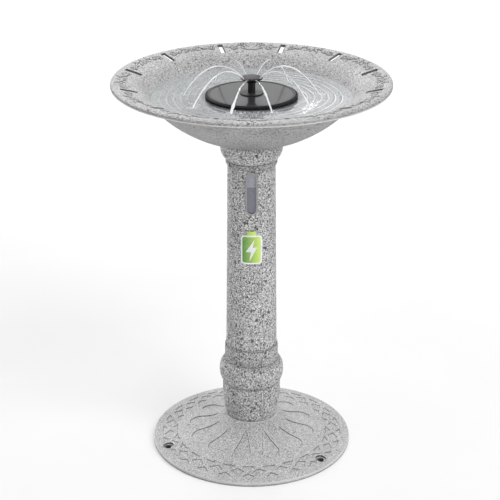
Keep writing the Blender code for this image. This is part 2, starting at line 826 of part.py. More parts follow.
# ================================================================ basin
def build_basin(axis):
    under = [(BASIN_R * r, SEAT_Z + BOWL_RISE * h) for r, h in BOWL_CURVE]
    inner = offset_profile(under, -BASIN_WALL)
    lip_low_z = CREST_Z - LIP_FALL
    recess_r = BASIN_COLLAR_R - RUN_GAP + GAP
    recess_z = SEAT_Z + SPIGOT_FLANGE_T + 2 * GAP
    boss_z = FLOOR_Z + FLOOR_BOSS_H
    profile = [
        (0.0, boss_z),
        (FLOOR_BOSS_R - 0.003, boss_z),
        (FLOOR_BOSS_R, boss_z - 0.003),
        (FLOOR_BOSS_R + 0.002, FLOOR_Z),
        *inner,
        (BASIN_R - 0.0070, CREST_Z),
        (BASIN_R - 0.0030, CREST_Z - 0.0008),
        (BASIN_R, CREST_Z - 0.0040),
        (BASIN_R, lip_low_z + 0.0008),
        (BASIN_R - 0.0008, lip_low_z),
        (BASIN_R - 0.0035, lip_low_z),
        *reversed(under),
        (BASIN_SEAT_R, SEAT_Z),
        (recess_r, SEAT_Z),
        (recess_r, recess_z),
        (0.0, recess_z),
    ]
    basin = turned("basin", profile, LARGE_STEPS, GRANITE, axis)

    def slots(builder):
        length = SLOT_OUTER_R - SLOT_INNER_R
        middle_r = (SLOT_OUTER_R + SLOT_INNER_R) / 2
        for angle in spread(SLOT_COUNT, math.pi / SLOT_COUNT):
            centre = round_point(middle_r, angle, CREST_Z)
            box_into(builder, (SLOT_W, length, 0.05), centre, angle)

    screw_spots = [round_point(SPIGOT_SCREW_CIRCLE_R, a) for a in spread(3, LOCK_TURN)]
    pilot_top_z = boss_z - 0.0022

    def pilots(builder):
        for spot in screw_spots:
            radius = SCREW_SHANK_R + GAP
            cylinder_into(builder, radius, SEAT_Z - 0.001, pilot_top_z, spot, 12)

    cut(
        basin,
        add_cutter("rim_slots", built_mesh("rim_slots", slots)),
        add_cutter("basin_pilots", built_mesh("basin_pilots", pilots)),
    )

    spigot_r = BASIN_COLLAR_R - RUN_GAP
    flange_z = recess_z - GAP
    lug_top_z = BULB_TOP_Z - BASIN_COLLAR_H - RUN_GAP
    lug_low_z = lug_top_z - LUG_H
    spigot_low_z = flange_z - SPIGOT_FLANGE_T - SPIGOT_LENGTH + SPIGOT_FLANGE_T
    spigot_profile = [
        (0.0, flange_z),
        (spigot_r, flange_z),
        (spigot_r, spigot_low_z),
        (spigot_r - SPIGOT_WALL, spigot_low_z),
        (spigot_r - SPIGOT_WALL, flange_z - SPIGOT_FLANGE_T),
        (0.0, flange_z - SPIGOT_FLANGE_T),
    ]
    spigot = turned("basin_spigot", spigot_profile, MEDIUM_STEPS, GREY_PLASTIC, axis)
    lugs = lugs_mesh("spigot_lugs", spigot_r, lug_low_z, lug_top_z)
    join(spigot, add_cutter("spigot_lugs", lugs))

    def screw_holes(builder):
        for spot in screw_spots:
            low_z = flange_z - SPIGOT_FLANGE_T - 0.002
            cylinder_into(builder, SCREW_SHANK_R + GAP, low_z, flange_z + 0.002, spot, 12)

    cut(spigot, add_cutter("spigot_holes", built_mesh("spigot_holes", screw_holes)))
    head_z = flange_z - SPIGOT_FLANGE_T - GAP
    for number, spot in enumerate(screw_spots, 1):
        shank = pilot_top_z - GAP - head_z
        screw_piece(f"spigot_screw_{number}", spot, head_z, shank, True, STEEL, axis)


# ================================================================ floating fountain
def build_float(axis):
    """The upper housing: a rim, a shelf for the panel and a hub with the riser's socket."""
    panel_seat_r = PANEL_R + GAP
    socket_r = RISER_R + GAP
    socket_low_z = HUB_TOP_Z - RISER_SINK - FLOAT_WALL
    skirt_low_z = COVER_TOP_Z + GAP
    profile = [
        (socket_r, HUB_TOP_Z),
        (HUB_R - 0.001, HUB_TOP_Z),
        (HUB_R, HUB_TOP_Z - 0.001),
        (HUB_R, SHELF_Z),
        (panel_seat_r, SHELF_Z),
        (panel_seat_r, FLOAT_TOP_Z),
        (HOUSING_R - 0.0012, FLOAT_TOP_Z),
        (HOUSING_R, FLOAT_TOP_Z - 0.0012),
        (HOUSING_R, skirt_low_z),
        (HOUSING_R - FLOAT_WALL, skirt_low_z),
        (HOUSING_R - FLOAT_WALL, SHELF_Z - FLOAT_WALL),
        (socket_r + HUB_TUBE_WALL, SHELF_Z - FLOAT_WALL),
        (socket_r + HUB_TUBE_WALL, socket_low_z),
        (RISER_BORE_R, socket_low_z),
        (RISER_BORE_R, socket_low_z + FLOAT_WALL - GAP),
        (socket_r, socket_low_z + FLOAT_WALL - GAP),
    ]
    housing = turned("float_housing", profile, LARGE_STEPS, BLACK_PLASTIC, axis)

    screw_spots = [round_point(CASE_SCREW_CIRCLE_R, a) for a in spread(4, math.pi / 4)]
    boss_r = SCREW_SHANK_R + 0.0022
    boss_low_z = COVER_TOP_Z + GAP

    def bosses(builder):
        for spot in screw_spots:
            cylinder_into(builder, boss_r, boss_low_z, SHELF_Z - FLOAT_WALL / 2, spot, 12)

    def pilots(builder):
        for spot in screw_spots:
            high_z = SHELF_Z - FLOAT_WALL - 0.001
            cylinder_into(builder, SCREW_SHANK_R + GAP, boss_low_z - 0.001, high_z, spot, 12)

    join(housing, add_cutter("case_bosses", built_mesh("case_bosses", bosses)))
    cut(housing, add_cutter("case_pilots", built_mesh("case_pilots", pilots)))

    panel_z = SHELF_Z + GAP
    panel = ring_profile(HUB_R + GAP, PANEL_R, panel_z, panel_z + PANEL_T)
    turned("solar_panel", panel, LARGE_STEPS, PANEL_GLASS, axis)

    ribs = []
    for index, angle in enumerate(spread(BUMPER_RIBS * 2)):
        radius = FLOAT_R - (BUMPER_RIB_DEPTH if index % 2 else 0.0)
        ribs.append((radius * math.cos(angle), radius * math.sin(angle)))
    bore = circle_outline(HOUSING_R + GAP, LARGE_STEPS)
    bumper_mesh = plate_mesh("bumper_ring", [ribs, bore], BUMPER_H)
    bumper_mesh.transform(Matrix.Translation((0, 0, FLOAT_TOP_Z - 0.0015 - BUMPER_H / 2)))
    add_piece("bumper_ring", bumper_mesh, RUBBER, axis)

    boss_clear = CASE_SCREW_CIRCLE_R - boss_r - GAP
    foam_low_z = COVER_TOP_Z + GAP
    foam = ring_profile(FOAM_INNER_R, boss_clear, foam_low_z, foam_low_z + FOAM_H)
    turned("float_foam", foam, 28, FOAM, axis)
    return screw_spots


def build_lower_cover(axis, screw_spots):
    """Closes the float from below. The pump hangs under it and the riser's socket stands over it."""
    button_hole_r = BUTTON_R + GAP
    hub_bore_r = OUTLET_R + 0.0022
    profile = ring_profile(hub_bore_r, HOUSING_R, FLOAT_BOTTOM_Z, COVER_TOP_Z)
    cover = turned("float_cover", profile, LARGE_STEPS, BLACK_PLASTIC, axis)

    def posts(builder):
        reach_x, reach_y = BOARD_SIZE[0] / 2 - 0.003, BOARD_SIZE[1] / 2 - 0.003
        for x in (BOARD_X - reach_x, BOARD_X + reach_x):
            for y in (-reach_y, reach_y):
                low_z = COVER_TOP_Z - FLOAT_WALL / 2
                cylinder_into(builder, 0.0015, low_z, COVER_TOP_Z + BOARD_POST_H, (x, y), 10)

    join(cover, add_cutter("board_posts", built_mesh("board_posts", posts)))

    def holes(builder):
        for spot in screw_spots:
            low_z = FLOAT_BOTTOM_Z - 0.002
            cylinder_into(builder, SCREW_SHANK_R + GAP, low_z, COVER_TOP_Z + 0.002, spot, 12)
        spot = (0.0, -BUTTON_CIRCLE_R)
        cylinder_into(
            builder, button_hole_r, FLOAT_BOTTOM_Z - 0.002, COVER_TOP_Z + 0.002, spot, 16
        )

    cut(cover, add_cutter("cover_holes", built_mesh("cover_holes", holes)))
    head_z = FLOAT_BOTTOM_Z - GAP
    shank = SHELF_Z - FLOAT_WALL - 0.001 - GAP - head_z
    for number, spot in enumerate(screw_spots, 1):
        screw_piece(f"case_screw_{number}", spot, head_z, shank, True, STEEL, axis)


def build_electrics(axis):
    """The battery cell and the control board lie on the cover, beside the riser's socket."""
    floor_z = COVER_TOP_Z + GAP

    def cell(builder):
        centre = Vector((CELL_X, 0, floor_z + CELL_SIZE[2] / 2))
        box_into(builder, CELL_SIZE, centre)

    battery = add_piece("battery_cell", built_mesh("battery_cell", cell), CELL_WRAP, axis)
    rounding = battery.modifiers.new("rounding", "BEVEL")
    rounding.width = 0.0012
    rounding.segments = 2

    board_z = floor_z + BOARD_POST_H

    def board(builder):
        box_into(builder, BOARD_SIZE, Vector((BOARD_X, 0, board_z + BOARD_SIZE[2] / 2)))

    def chips(builder):
        low_z = board_z + BOARD_SIZE[2] - 0.0004
        box_into(builder, (0.007, 0.007, 0.0018), Vector((BOARD_X - 0.003, 0.002, low_z + 0.0009)))
        box_into(builder, (0.004, 0.003, 0.0024), Vector((BOARD_X + 0.006, 0.009, low_z + 0.0012)))
        cylinder_into(builder, 0.0022, low_z, low_z + 0.003, (BOARD_X - 0.004, -0.009), 12)

    control = add_piece("control_board", built_mesh("control_board", board), BOARD_GREEN, axis)
    join(control, add_cutter("board_chips", built_mesh("board_chips", chips)))


def build_pump(axis):
    """Wet-rotor pump: water comes in below, passes the magnet and leaves by the outlet on top."""
    outlet_outer_r = OUTLET_R + 0.0018
    outlet_top_z = HUB_TOP_Z - RISER_SINK - FLOAT_WALL - GAP
    well_top_z = PUMP_TOP_Z - 0.0035
    pocket_floor_z = PUMP_BOTTOM_Z + PUMP_WALL
    profile = [
        (OUTLET_R, outlet_top_z),
        (outlet_outer_r, outlet_top_z),
        (outlet_outer_r, PUMP_TOP_Z - 0.001),
        (WELL_R + WELL_WALL, well_top_z),
        (WELL_R + WELL_WALL, pocket_floor_z),
        (PUMP_R - PUMP_WALL, pocket_floor_z),
        (PUMP_R - PUMP_WALL, PUMP_TOP_Z),
        (PUMP_R, PUMP_TOP_Z),
        (PUMP_R, PUMP_BOTTOM_Z),
        (WELL_R, PUMP_BOTTOM_Z),
        (WELL_R, well_top_z - 0.0010),
        (OUTLET_R, PUMP_TOP_Z - 0.0020),
    ]
    body = turned("pump_body", profile, 24, BLACK_PLASTIC, axis)
    bridge_low_z = PUMP_TOP_Z - BRIDGE_DROP
    bridge_z = bridge_low_z + BRIDGE_H / 2
    well_span = 2 * WELL_R + WELL_WALL

    def bearing(builder):
        box_into(builder, (well_span, 0.0022, BRIDGE_H), Vector((0, 0, bridge_z)))

    def bearing_boss(builder):
        cylinder_into(builder, 0.0030, bridge_low_z, bridge_low_z + BRIDGE_H, (0, 0), 16)

    def bearing_hole(builder):
        low_z, high_z = bridge_low_z - 0.001, bridge_low_z + BRIDGE_H + 0.001
        cylinder_into(builder, SHAFT_R + GAP, low_z, high_z, (0, 0), 12)

    join(
        body,
        add_cutter("bearing_bar", built_mesh("bearing_bar", bearing)),
        add_cutter("bearing_boss", built_mesh("bearing_boss", bearing_boss)),
    )
    cut(body, add_cutter("bearing_hole", built_mesh("bearing_hole", bearing_hole)))

    stator_low_z = pocket_floor_z + GAP
    stator = ring_profile(
        WELL_R + WELL_WALL + GAP, PUMP_R - PUMP_WALL - GAP, stator_low_z, stator_low_z + STATOR_H
    )
    turned("motor_stator", stator, 24, COPPER, axis)

    shaft_low_z = INLET_Z + INLET_T / 2 + GAP
    shaft_high_z = bridge_low_z + BRIDGE_H - 0.0003
    turned("impeller_shaft", disc_profile(SHAFT_R, shaft_low_z, shaft_high_z), 12, STEEL, axis)

    inlet_top_z = INLET_Z + INLET_T
    inlet = turned(
        "inlet_cover", ring_profile(INLET_R, PUMP_R, INLET_Z, inlet_top_z), 24, BLACK_PLASTIC, axis
    )

    def inlet_bar(builder):
        middle = Vector((0, 0, INLET_Z + INLET_T / 2))
        box_into(builder, (2 * INLET_R + 0.004, 0.0022, INLET_T), middle)

    def inlet_boss(builder):
        cylinder_into(builder, 0.0030, INLET_Z, inlet_top_z, (0, 0), 16)

    def inlet_hole(builder):
        low_z = INLET_Z + INLET_T / 2
        cylinder_into(builder, SHAFT_R + GAP, low_z, inlet_top_z + 0.001, (0, 0), 12)

    join(
        inlet,
        add_cutter("inlet_bar", built_mesh("inlet_bar", inlet_bar)),
        add_cutter("inlet_boss", built_mesh("inlet_boss", inlet_boss)),
    )
    cut(inlet, add_cutter("inlet_hole", built_mesh("inlet_hole", inlet_hole)))


def build_rotor(axis):
    """The impeller and the magnet that drives it turn together round the fixed shaft."""
    low_z = PUMP_BOTTOM_Z + RUN_GAP
    plate_z = low_z + 0.8 * IMPELLER_H
    magnet_low_z = low_z + IMPELLER_H + GAP
    magnet_high_z = magnet_low_z + MAGNET_H
    hub_r = MAGNET_BORE_R - GAP
    profile = [
        (SHAFT_R + GAP, magnet_high_z),
        (hub_r, magnet_high_z),
        (hub_r, low_z + IMPELLER_H),
        (IMPELLER_R, low_z + IMPELLER_H),
        (IMPELLER_R, plate_z),
        (hub_r, plate_z),
        (hub_r, low_z),
        (SHAFT_R + GAP, low_z),
    ]
    impeller = turned("impeller", profile, 24, GREY_PLASTIC, axis)

    def blades(builder):
        inner = hub_r - 0.0006
        outer = IMPELLER_R - 0.0004
        high_z = (plate_z + low_z + IMPELLER_H) / 2
        for angle in spread(BLADE_COUNT):
            centre = round_point((inner + outer) / 2, angle, (low_z + high_z) / 2)
            box_into(builder, (BLADE_T, outer - inner, high_z - low_z), centre, angle)

    join(impeller, add_cutter("impeller_blades", built_mesh("impeller_blades", blades)))
    magnet = ring_profile(MAGNET_BORE_R, MAGNET_R, magnet_low_z, magnet_high_z)
    turned("rotor_magnet", magnet, 24, MAGNET, axis)


def build_strainer(axis):
    """A slotted cup round the bottom of the pump. It twists off, with its foam, to be cleaned."""
    bore_r = PUMP_R + RUN_GAP
    outer_r = bore_r + STRAINER_WALL
    filter_high_z = INLET_Z - RUN_GAP
    filter_low_z = filter_high_z - FILTER_H
    floor_z = filter_low_z - GAP
    high_z = PUMP_BOTTOM_Z + STRAINER_RUN
    profile = [
        (0.0, floor_z),
        (bore_r, floor_z),
        (bore_r, high_z),
        (outer_r, high_z),
        (outer_r, floor_z - STRAINER_WALL + 0.001),
        (outer_r - 0.001, floor_z - STRAINER_WALL),
        (0.0, floor_z - STRAINER_WALL),
    ]
    strainer = turned("strainer_cap", profile, 24, BLACK_PLASTIC, axis)

    def slots(builder):
        slot_h = FILTER_H - 0.002
        for angle in spread(STRAINER_SLOTS, math.pi / STRAINER_SLOTS):
            centre = round_point(outer_r, angle, floor_z + 0.001 + slot_h / 2)
            box_into(builder, (STRAINER_SLOT_W, 0.008, slot_h), centre, angle)

    cut(strainer, add_cutter("strainer_slots", built_mesh("strainer_slots", slots)))
    foam = ring_profile(INLET_R, bore_r - GAP, filter_low_z, filter_high_z)
    turned("foam_filter", foam, 24, FOAM, axis)


def build_riser(axis):
    riser_low_z = HUB_TOP_Z - RISER_SINK
    profile = ring_profile(RISER_BORE_R, RISER_R, riser_low_z, CAP_Z)
    turned("riser_tube", profile, 20, BLACK_PLASTIC, axis)


def build_nozzle(axis):
    """Hollow spray head: a flat chamber over the riser, with a ring of holes in its top."""
    socket_r = RISER_R + RUN_GAP
    top_z = CAP_Z + CAP_H
    shoulder_z = top_z - CAP_DOME_H
    rim_low_z = shoulder_z - CAP_RIM_T
    chamber_r = JET_CIRCLE_R + 0.0016
    chamber_low_z = CAP_Z + 0.0014
    profile = [
        (0.0, top_z),
        (0.50 * CAP_R, top_z - 0.15 * CAP_DOME_H),
        (0.88 * CAP_R, top_z - 0.60 * CAP_DOME_H),
        (CAP_R, shoulder_z),
        (CAP_R, rim_low_z),
        (CAP_R - 0.0013, rim_low_z - 0.0014),
        (socket_r + CAP_SOCKET_WALL, CAP_Z - 0.0020),
        (socket_r + CAP_SOCKET_WALL, CAP_Z - CAP_LAP),
        (socket_r, CAP_Z - CAP_LAP),
        (socket_r, CAP_Z + RUN_GAP),
        (RISER_BORE_R, CAP_Z + RUN_GAP),
        (RISER_BORE_R, chamber_low_z),
        (chamber_r, chamber_low_z + 0.0012),
        (chamber_r, shoulder_z - 0.0003),
        (0.50 * CAP_R, top_z - CAP_PLATE_T - 0.15 * CAP_DOME_H),
        (0.0, top_z - CAP_PLATE_T),
    ]
    cap = turned("nozzle_cap", profile, 28, BLACK_PLASTIC, axis)

    def jets(builder):
        for angle in [side * a for side in (1, -1) for a in JET_ANGLES]:
            spot = round_point(JET_CIRCLE_R, angle)
            cylinder_into(builder, JET_HOLE_R, shoulder_z - 0.0015, top_z + 0.001, spot, 10)

    cut(cap, add_cutter("jet_holes", built_mesh("jet_holes", jets)))


def build_button(axis):
    """Push button under the float, kept in by its flange."""
    flange_low_z = COVER_TOP_Z + GAP
    profile = [
        (0.0, flange_low_z + 0.0014),
        (BUTTON_R + BUTTON_FLANGE_W, flange_low_z + 0.0014),
        (BUTTON_R + BUTTON_FLANGE_W, flange_low_z),
        (BUTTON_R, flange_low_z),
        (BUTTON_R, FLOAT_BOTTOM_Z - BUTTON_PROUD + 0.0005),
        (BUTTON_R - 0.0005, FLOAT_BOTTOM_Z - BUTTON_PROUD),
        (0.0, FLOAT_BOTTOM_Z - BUTTON_PROUD),
    ]
    button = turned("power_button", profile, SMALL_STEPS, RUBBER, axis)
    button.location = (0.0, -BUTTON_CIRCLE_R, 0.0)


def build_all():
    column_axis = add_axis("column_twist_axis", (0, 0, FOOT_Z))
    basin_axis = add_axis("basin_twist_axis", (0, 0, SEAT_Z))
    fountain_axis = add_axis("fountain_lift_axis", (0, 0, WATER_Z))
    rotor_axis = add_axis("impeller_spin_axis", (0, 0, PUMP_BOTTOM_Z))
    strainer_axis = add_axis("strainer_twist_axis", (0, 0, INLET_Z))
    nozzle_axis = add_axis("nozzle_pull_axis", (0, 0, CAP_Z))
    button_axis = add_axis("power_press_axis", (0, -BUTTON_CIRCLE_R, COVER_TOP_Z))

    build_base()
    build_foot(column_axis)
    build_tube(column_axis)
    build_window(column_axis)
    build_tank(column_axis)
    build_label(column_axis)
    build_bulb(column_axis)
    build_basin(basin_axis)
    screw_spots = build_float(fountain_axis)
    build_lower_cover(fountain_axis, screw_spots)
    build_electrics(fountain_axis)
    build_pump(fountain_axis)
    build_riser(fountain_axis)
    build_rotor(rotor_axis)
    build_strainer(strainer_axis)
    build_nozzle(nozzle_axis)
    build_button(button_axis)


build_all()
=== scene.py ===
"""Looks of a pedestal bird bath with a floating solar fountain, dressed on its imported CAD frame.

Metres, +Z up, and the front is towards -Y. Angles are about Z, from the front towards +X.
"""

from __future__ import annotations

import sys

import logging
import math
import random
from collections.abc import Callable, Iterable, Sequence
from dataclasses import dataclass, field
from enum import Enum
from functools import partial
from typing import Protocol

import bmesh
import bpy
import numpy as np
from mathutils import Matrix, Vector


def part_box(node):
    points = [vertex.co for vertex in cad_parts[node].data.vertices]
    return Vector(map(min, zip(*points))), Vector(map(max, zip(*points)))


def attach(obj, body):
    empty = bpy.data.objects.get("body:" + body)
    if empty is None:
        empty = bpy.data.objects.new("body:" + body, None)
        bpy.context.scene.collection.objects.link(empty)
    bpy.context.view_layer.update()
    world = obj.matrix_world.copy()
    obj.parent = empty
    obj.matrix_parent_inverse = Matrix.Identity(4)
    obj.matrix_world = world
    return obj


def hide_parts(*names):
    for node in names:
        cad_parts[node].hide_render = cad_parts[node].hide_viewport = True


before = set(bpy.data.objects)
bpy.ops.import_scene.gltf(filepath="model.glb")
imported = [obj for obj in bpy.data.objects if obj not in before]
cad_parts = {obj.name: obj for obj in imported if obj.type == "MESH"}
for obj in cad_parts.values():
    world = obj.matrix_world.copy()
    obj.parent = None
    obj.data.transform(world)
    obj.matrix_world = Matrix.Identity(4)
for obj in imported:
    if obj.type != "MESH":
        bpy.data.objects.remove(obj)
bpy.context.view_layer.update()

LOG = logging.getLogger("bird_bath")

Socket = bpy.types.NodeSocket
Material = bpy.types.Material
Mesh = bpy.types.Mesh
Builder = bmesh.types.BMesh
Colour = tuple[float, float, float]
Point = tuple[float, float]
Relief = Callable[[np.ndarray, np.ndarray], np.ndarray]
Measure = Callable[[np.ndarray, np.ndarray, np.ndarray], np.ndarray]

TURN = 2 * math.pi
GAP = 0.0003  # between pieces that touch
SHARP = 38.0  # the angle in degrees over which an edge stays sharp
RELIEF_SHARP = 60.0
WATER_SHARP = 70.0
WATER_IOR = 1.333
WINDOW_FILL = 0.655  # how full the ballast tank looks through its window


class Body(Enum):
    """The CAD bodies that pieces ride on."""

    BASE = "base"
    COLUMN = "column"
    BOWL = "bowl"
    FOUNTAIN = "fountain"
    NOZZLE = "nozzle"


class Slot(Enum):
    """The record's material slots; no piece here takes its finish from them."""

    GRANITE = "granite"
    CLEAR = "clear_plastic"
    RUBBER = "rubber"
    LABEL = "label_green"
    BLACK = "black_plastic"


# ------------------------------------------------------------------ node trees
def grey(tone: float) -> Colour:
    """A colour without a hue."""
    return (tone, tone, tone)


class Sketch:
    """A material's node tree, with short ways to add nodes and join them."""

    def __init__(self, name: str, **sockets: object) -> None:
        """Starts a material with a Principled shader.

        Args:
            name: The material's name.
            sockets: Constant values for the shader's sockets, with _ for each space.
        """
        self.material = bpy.data.materials.new(name)
        self.material.use_nodes = True
        self.tree = self.material.node_tree
        self.shader = self.tree.nodes["Principled BSDF"]
        for socket, value in sockets.items():
            self.shader.inputs[socket.replace("_", " ")].default_value = value
        self.place = self.add("ShaderNodeTexCoord").outputs["Object"]

    def add(self, kind: str, links: dict | None = None, **settings: object) -> bpy.types.Node:
        """Adds a node.

        Args:
            kind: The node's type.
            links: Input name or index to a constant or to another node's output.
            settings: Attributes of the node itself.

        Returns:
            The new node.
        """
        node = self.tree.nodes.new(kind)
        for key, value in settings.items():
            setattr(node, key, value)
        for key, value in (links or {}).items():
            if isinstance(value, Socket):
                self.tree.links.new(value, node.inputs[key])
            else:
                node.inputs[key].default_value = value
        return node

    def noise(self, scale: float, detail: float = 2.0, rough: float = 0.5) -> Socket:
        """Cloudy noise with so many features to the metre."""
        links = {"Vector": self.place, "Scale": scale, "Detail": detail, "Roughness": rough}
        return self.add("ShaderNodeTexNoise", links).outputs["Fac"]

    def mark(self, name: str) -> Socket:
        """A value from 0 to 1 that is stored on the mesh, or 0 where it isn't."""
        return self.add("ShaderNodeAttribute", attribute_name=name).outputs["Fac"]

    def cells(self, scale: float) -> Socket:
        """A random colour for each of the cells that the surface is broken into."""
        links = {"Vector": self.place, "Scale": scale}
        return self.add("ShaderNodeTexVoronoi", links).outputs["Color"]

    def ramp(self, value: Socket, stops: Sequence[tuple[float, Colour]]) -> Socket:
        """Colours for a value.

        Args:
            value: The value, from 0 to 1.
            stops: Places on the ramp with their colours.

        Returns:
            The colour output.
        """
        node = self.add("ShaderNodeValToRGB", {"Fac": value})
        elements = node.color_ramp.elements
        while len(elements) < len(stops):
            elements.new(0.5)
        for element, (place, colour) in zip(elements, stops):
            element.position = place
            element.color = (*colour, 1.0)
        return node.outputs["Color"]

    def span(
        self, value: Socket, low: float, high: float, new_low: float, new_high: float
    ) -> Socket:
        """The value moved from the range low..high to the range new_low..new_high."""
        links = {0: value, 1: low, 2: high, 3: new_low, 4: new_high}
        return self.add("ShaderNodeMapRange", links).outputs["Result"]

    def clouds(self, scale: float, dark: float, pale: float, detail: float = 3.0) -> Socket:
        """Soft grey patches between two tones."""
        return self.ramp(self.noise(scale, detail), ((0.3, grey(dark)), (0.7, grey(pale))))

    def maths(self, operation: str, *values: object) -> Socket:
        """A sum on one, two or three values."""
        links = dict(enumerate(values))
        return self.add("ShaderNodeMath", links, operation=operation).outputs["Value"]

    def mix(self, how: str, share: object, *colours: object) -> Socket:
        """Two colours mixed by a blend mode."""
        first, second = ((*c, 1.0) if isinstance(c, tuple) else c for c in colours)
        links = {0: share, 6: first, 7: second}
        node = self.add("ShaderNodeMix", links, data_type="RGBA", blend_type=how)
        return node.outputs[2]

    def bump(self, height: Socket, strength: float, distance: float) -> None:
        """Fine unevenness for the shader's normal."""
        links = {"Height": height, "Strength": strength, "Distance": distance}
        self.set("Normal", self.add("ShaderNodeBump", links).outputs["Normal"])

    def set(self, socket: str, value: Socket) -> None:
        """Joins an output to one of the shader's sockets."""
        self.tree.links.new(value, self.shader.inputs[socket])


# ------------------------------------------------------------------ finishes
class Finish(Protocol):
    """What every finish can do."""

    def build(self) -> Material:
        """Makes the material."""


@dataclass(frozen=True)
class GraniteFinish:
    """Resin moulded to look like fine speckled granite, with painted shade and painted highlights
    laid on where the mesh is marked.
    """

    name: str
    dark: Colour = (0.060, 0.060, 0.062)
    middle: Colour = (0.270, 0.270, 0.270)
    light: Colour = (0.620, 0.620, 0.615)
    grain: float = 640.0
    fleck_share: float = 0.10
    dent: float = 0.35
    # the painted highlight tone and the painted shade tone
    painted_highlight_tone: float = 0.72
    shade_tone: Colour = (0.050, 0.050, 0.052)

    def build(self) -> Material:
        """Makes the material."""
        sketch = Sketch(self.name, Specular_IOR_Level=0.35)
        specks = sketch.noise(self.grain, 3.0, 0.62)
        stone = sketch.ramp(
            specks,
            ((0.36, self.dark), (0.45, self.middle), (0.54, self.light), (0.64, grey(0.90))),
        )
        fleck = sketch.cells(self.grain * 0.55)
        dark_mask = sketch.span(fleck, self.fleck_share, self.fleck_share + 0.03, 0.85, 0.0)
        flecked = sketch.mix("MIX", dark_mask, stone, self.dark)
        stone = sketch.mix("MULTIPLY", 1.0, flecked, sketch.clouds(16.0, 0.86, 1.0))
        # painted shade where the mesh's groove mark is set, then painted highlight where the mesh
        # is marked paler
        stone = sketch.mix("MIX", sketch.mark("groove"), stone, self.shade_tone)
        stone = sketch.mix("MIX", sketch.mark("painted_highlight"), stone, grey(self.painted_highlight_tone))
        sketch.set("Base Color", stone)
        sketch.set("Roughness", sketch.span(specks, 0.3, 0.7, 0.78, 0.58))
        sketch.bump(specks, self.dent, 0.0006)
        return sketch.material


@dataclass(frozen=True)
class MouldedFinish:
    """Moulded plastic or rubber with a fine spark-eroded grain."""

    name: str
    colour: Colour
    roughness: float = 0.42
    grain: float = 1500.0
    dent: float = 0.15
    shine: float = 0.5

    def build(self) -> Material:
        """Makes the material."""
        sketch = Sketch(self.name, Specular_IOR_Level=self.shine)
        grain = sketch.noise(self.grain, 2.0)
        smudge = sketch.noise(45.0, 3.0)
        pale = tuple(min(1.0, c * 1.25 + 0.004) for c in self.colour)
        sketch.set("Base Color", sketch.ramp(smudge, ((0.35, self.colour), (0.75, pale))))
        rough = sketch.span(smudge, 0.3, 0.7, self.roughness - 0.05, self.roughness + 0.08)
        sketch.set("Roughness", rough)
        sketch.bump(grain, self.dent, 0.0002)
        return sketch.material


@dataclass(frozen=True)
class MetalFinish:
    """Metal with fine drawn lines in it."""

    name: str
    colour: Colour
    roughness: float = 0.3

    def build(self) -> Material:
        """Makes the material."""
        sketch = Sketch(self.name, Metallic=1.0)
        streaks = sketch.noise(900.0, 2.0)
        pale = tuple(min(1.0, c * 1.15) for c in self.colour)
        sketch.set("Base Color", sketch.ramp(streaks, ((0.3, self.colour), (0.7, pale))))
        rough = sketch.span(streaks, 0.3, 0.7, self.roughness - 0.06, self.roughness + 0.1)
        sketch.set("Roughness", rough)
        sketch.bump(streaks, 0.1, 0.0002)
        return sketch.material


@dataclass(frozen=True)
class FoamFinish:
    """Open-cell foam: soft, dark pores all over."""

    name: str
    colour: Colour

    def build(self) -> Material:
        """Makes the material."""
        sketch = Sketch(self.name, Roughness=0.95)
        pores = sketch.noise(1100.0, 2.0)
        dark = tuple(c * 0.25 for c in self.colour)
        sketch.set("Base Color", sketch.ramp(pores, ((0.42, dark), (0.58, self.colour))))
        sketch.bump(pores, 0.8, 0.0008)
        return sketch.material


@dataclass(frozen=True)
class PanelFinish:
    """Solar cells under clear resin: dark strips with thin silver lines between them."""

    name: str
    cell: Colour = (0.020, 0.020, 0.022)
    line: Colour = (0.040, 0.040, 0.043)
    strip: float = 0.0125
    line_width: float = 0.0006

    def build(self) -> Material:
        """Makes the material."""
        sketch = Sketch(
            self.name, Roughness=0.30, Specular_IOR_Level=0.1, Coat_Weight=0.30, Coat_Roughness=0.02
        )
        axes = sketch.add("ShaderNodeSeparateXYZ", {0: sketch.place})
        masks = []
        for axis, pitch in ((0, self.strip), (1, self.strip * 2.5)):
            place = sketch.maths("PINGPONG", axes.outputs[axis], pitch / 2)
            masks.append(sketch.span(place, 0.0, self.line_width, 1.0, 0.0))
        lines = sketch.maths("MAXIMUM", *masks)
        mottle = sketch.ramp(
            sketch.noise(160.0, 3.0), ((0.35, self.cell), (0.7, tuple(c * 1.5 for c in self.cell)))
        )
        sketch.set("Base Color", sketch.mix("MIX", lines, mottle, self.line))
        sketch.bump(sketch.noise(60.0, 2.0), 0.02, 0.0003)
        return sketch.material


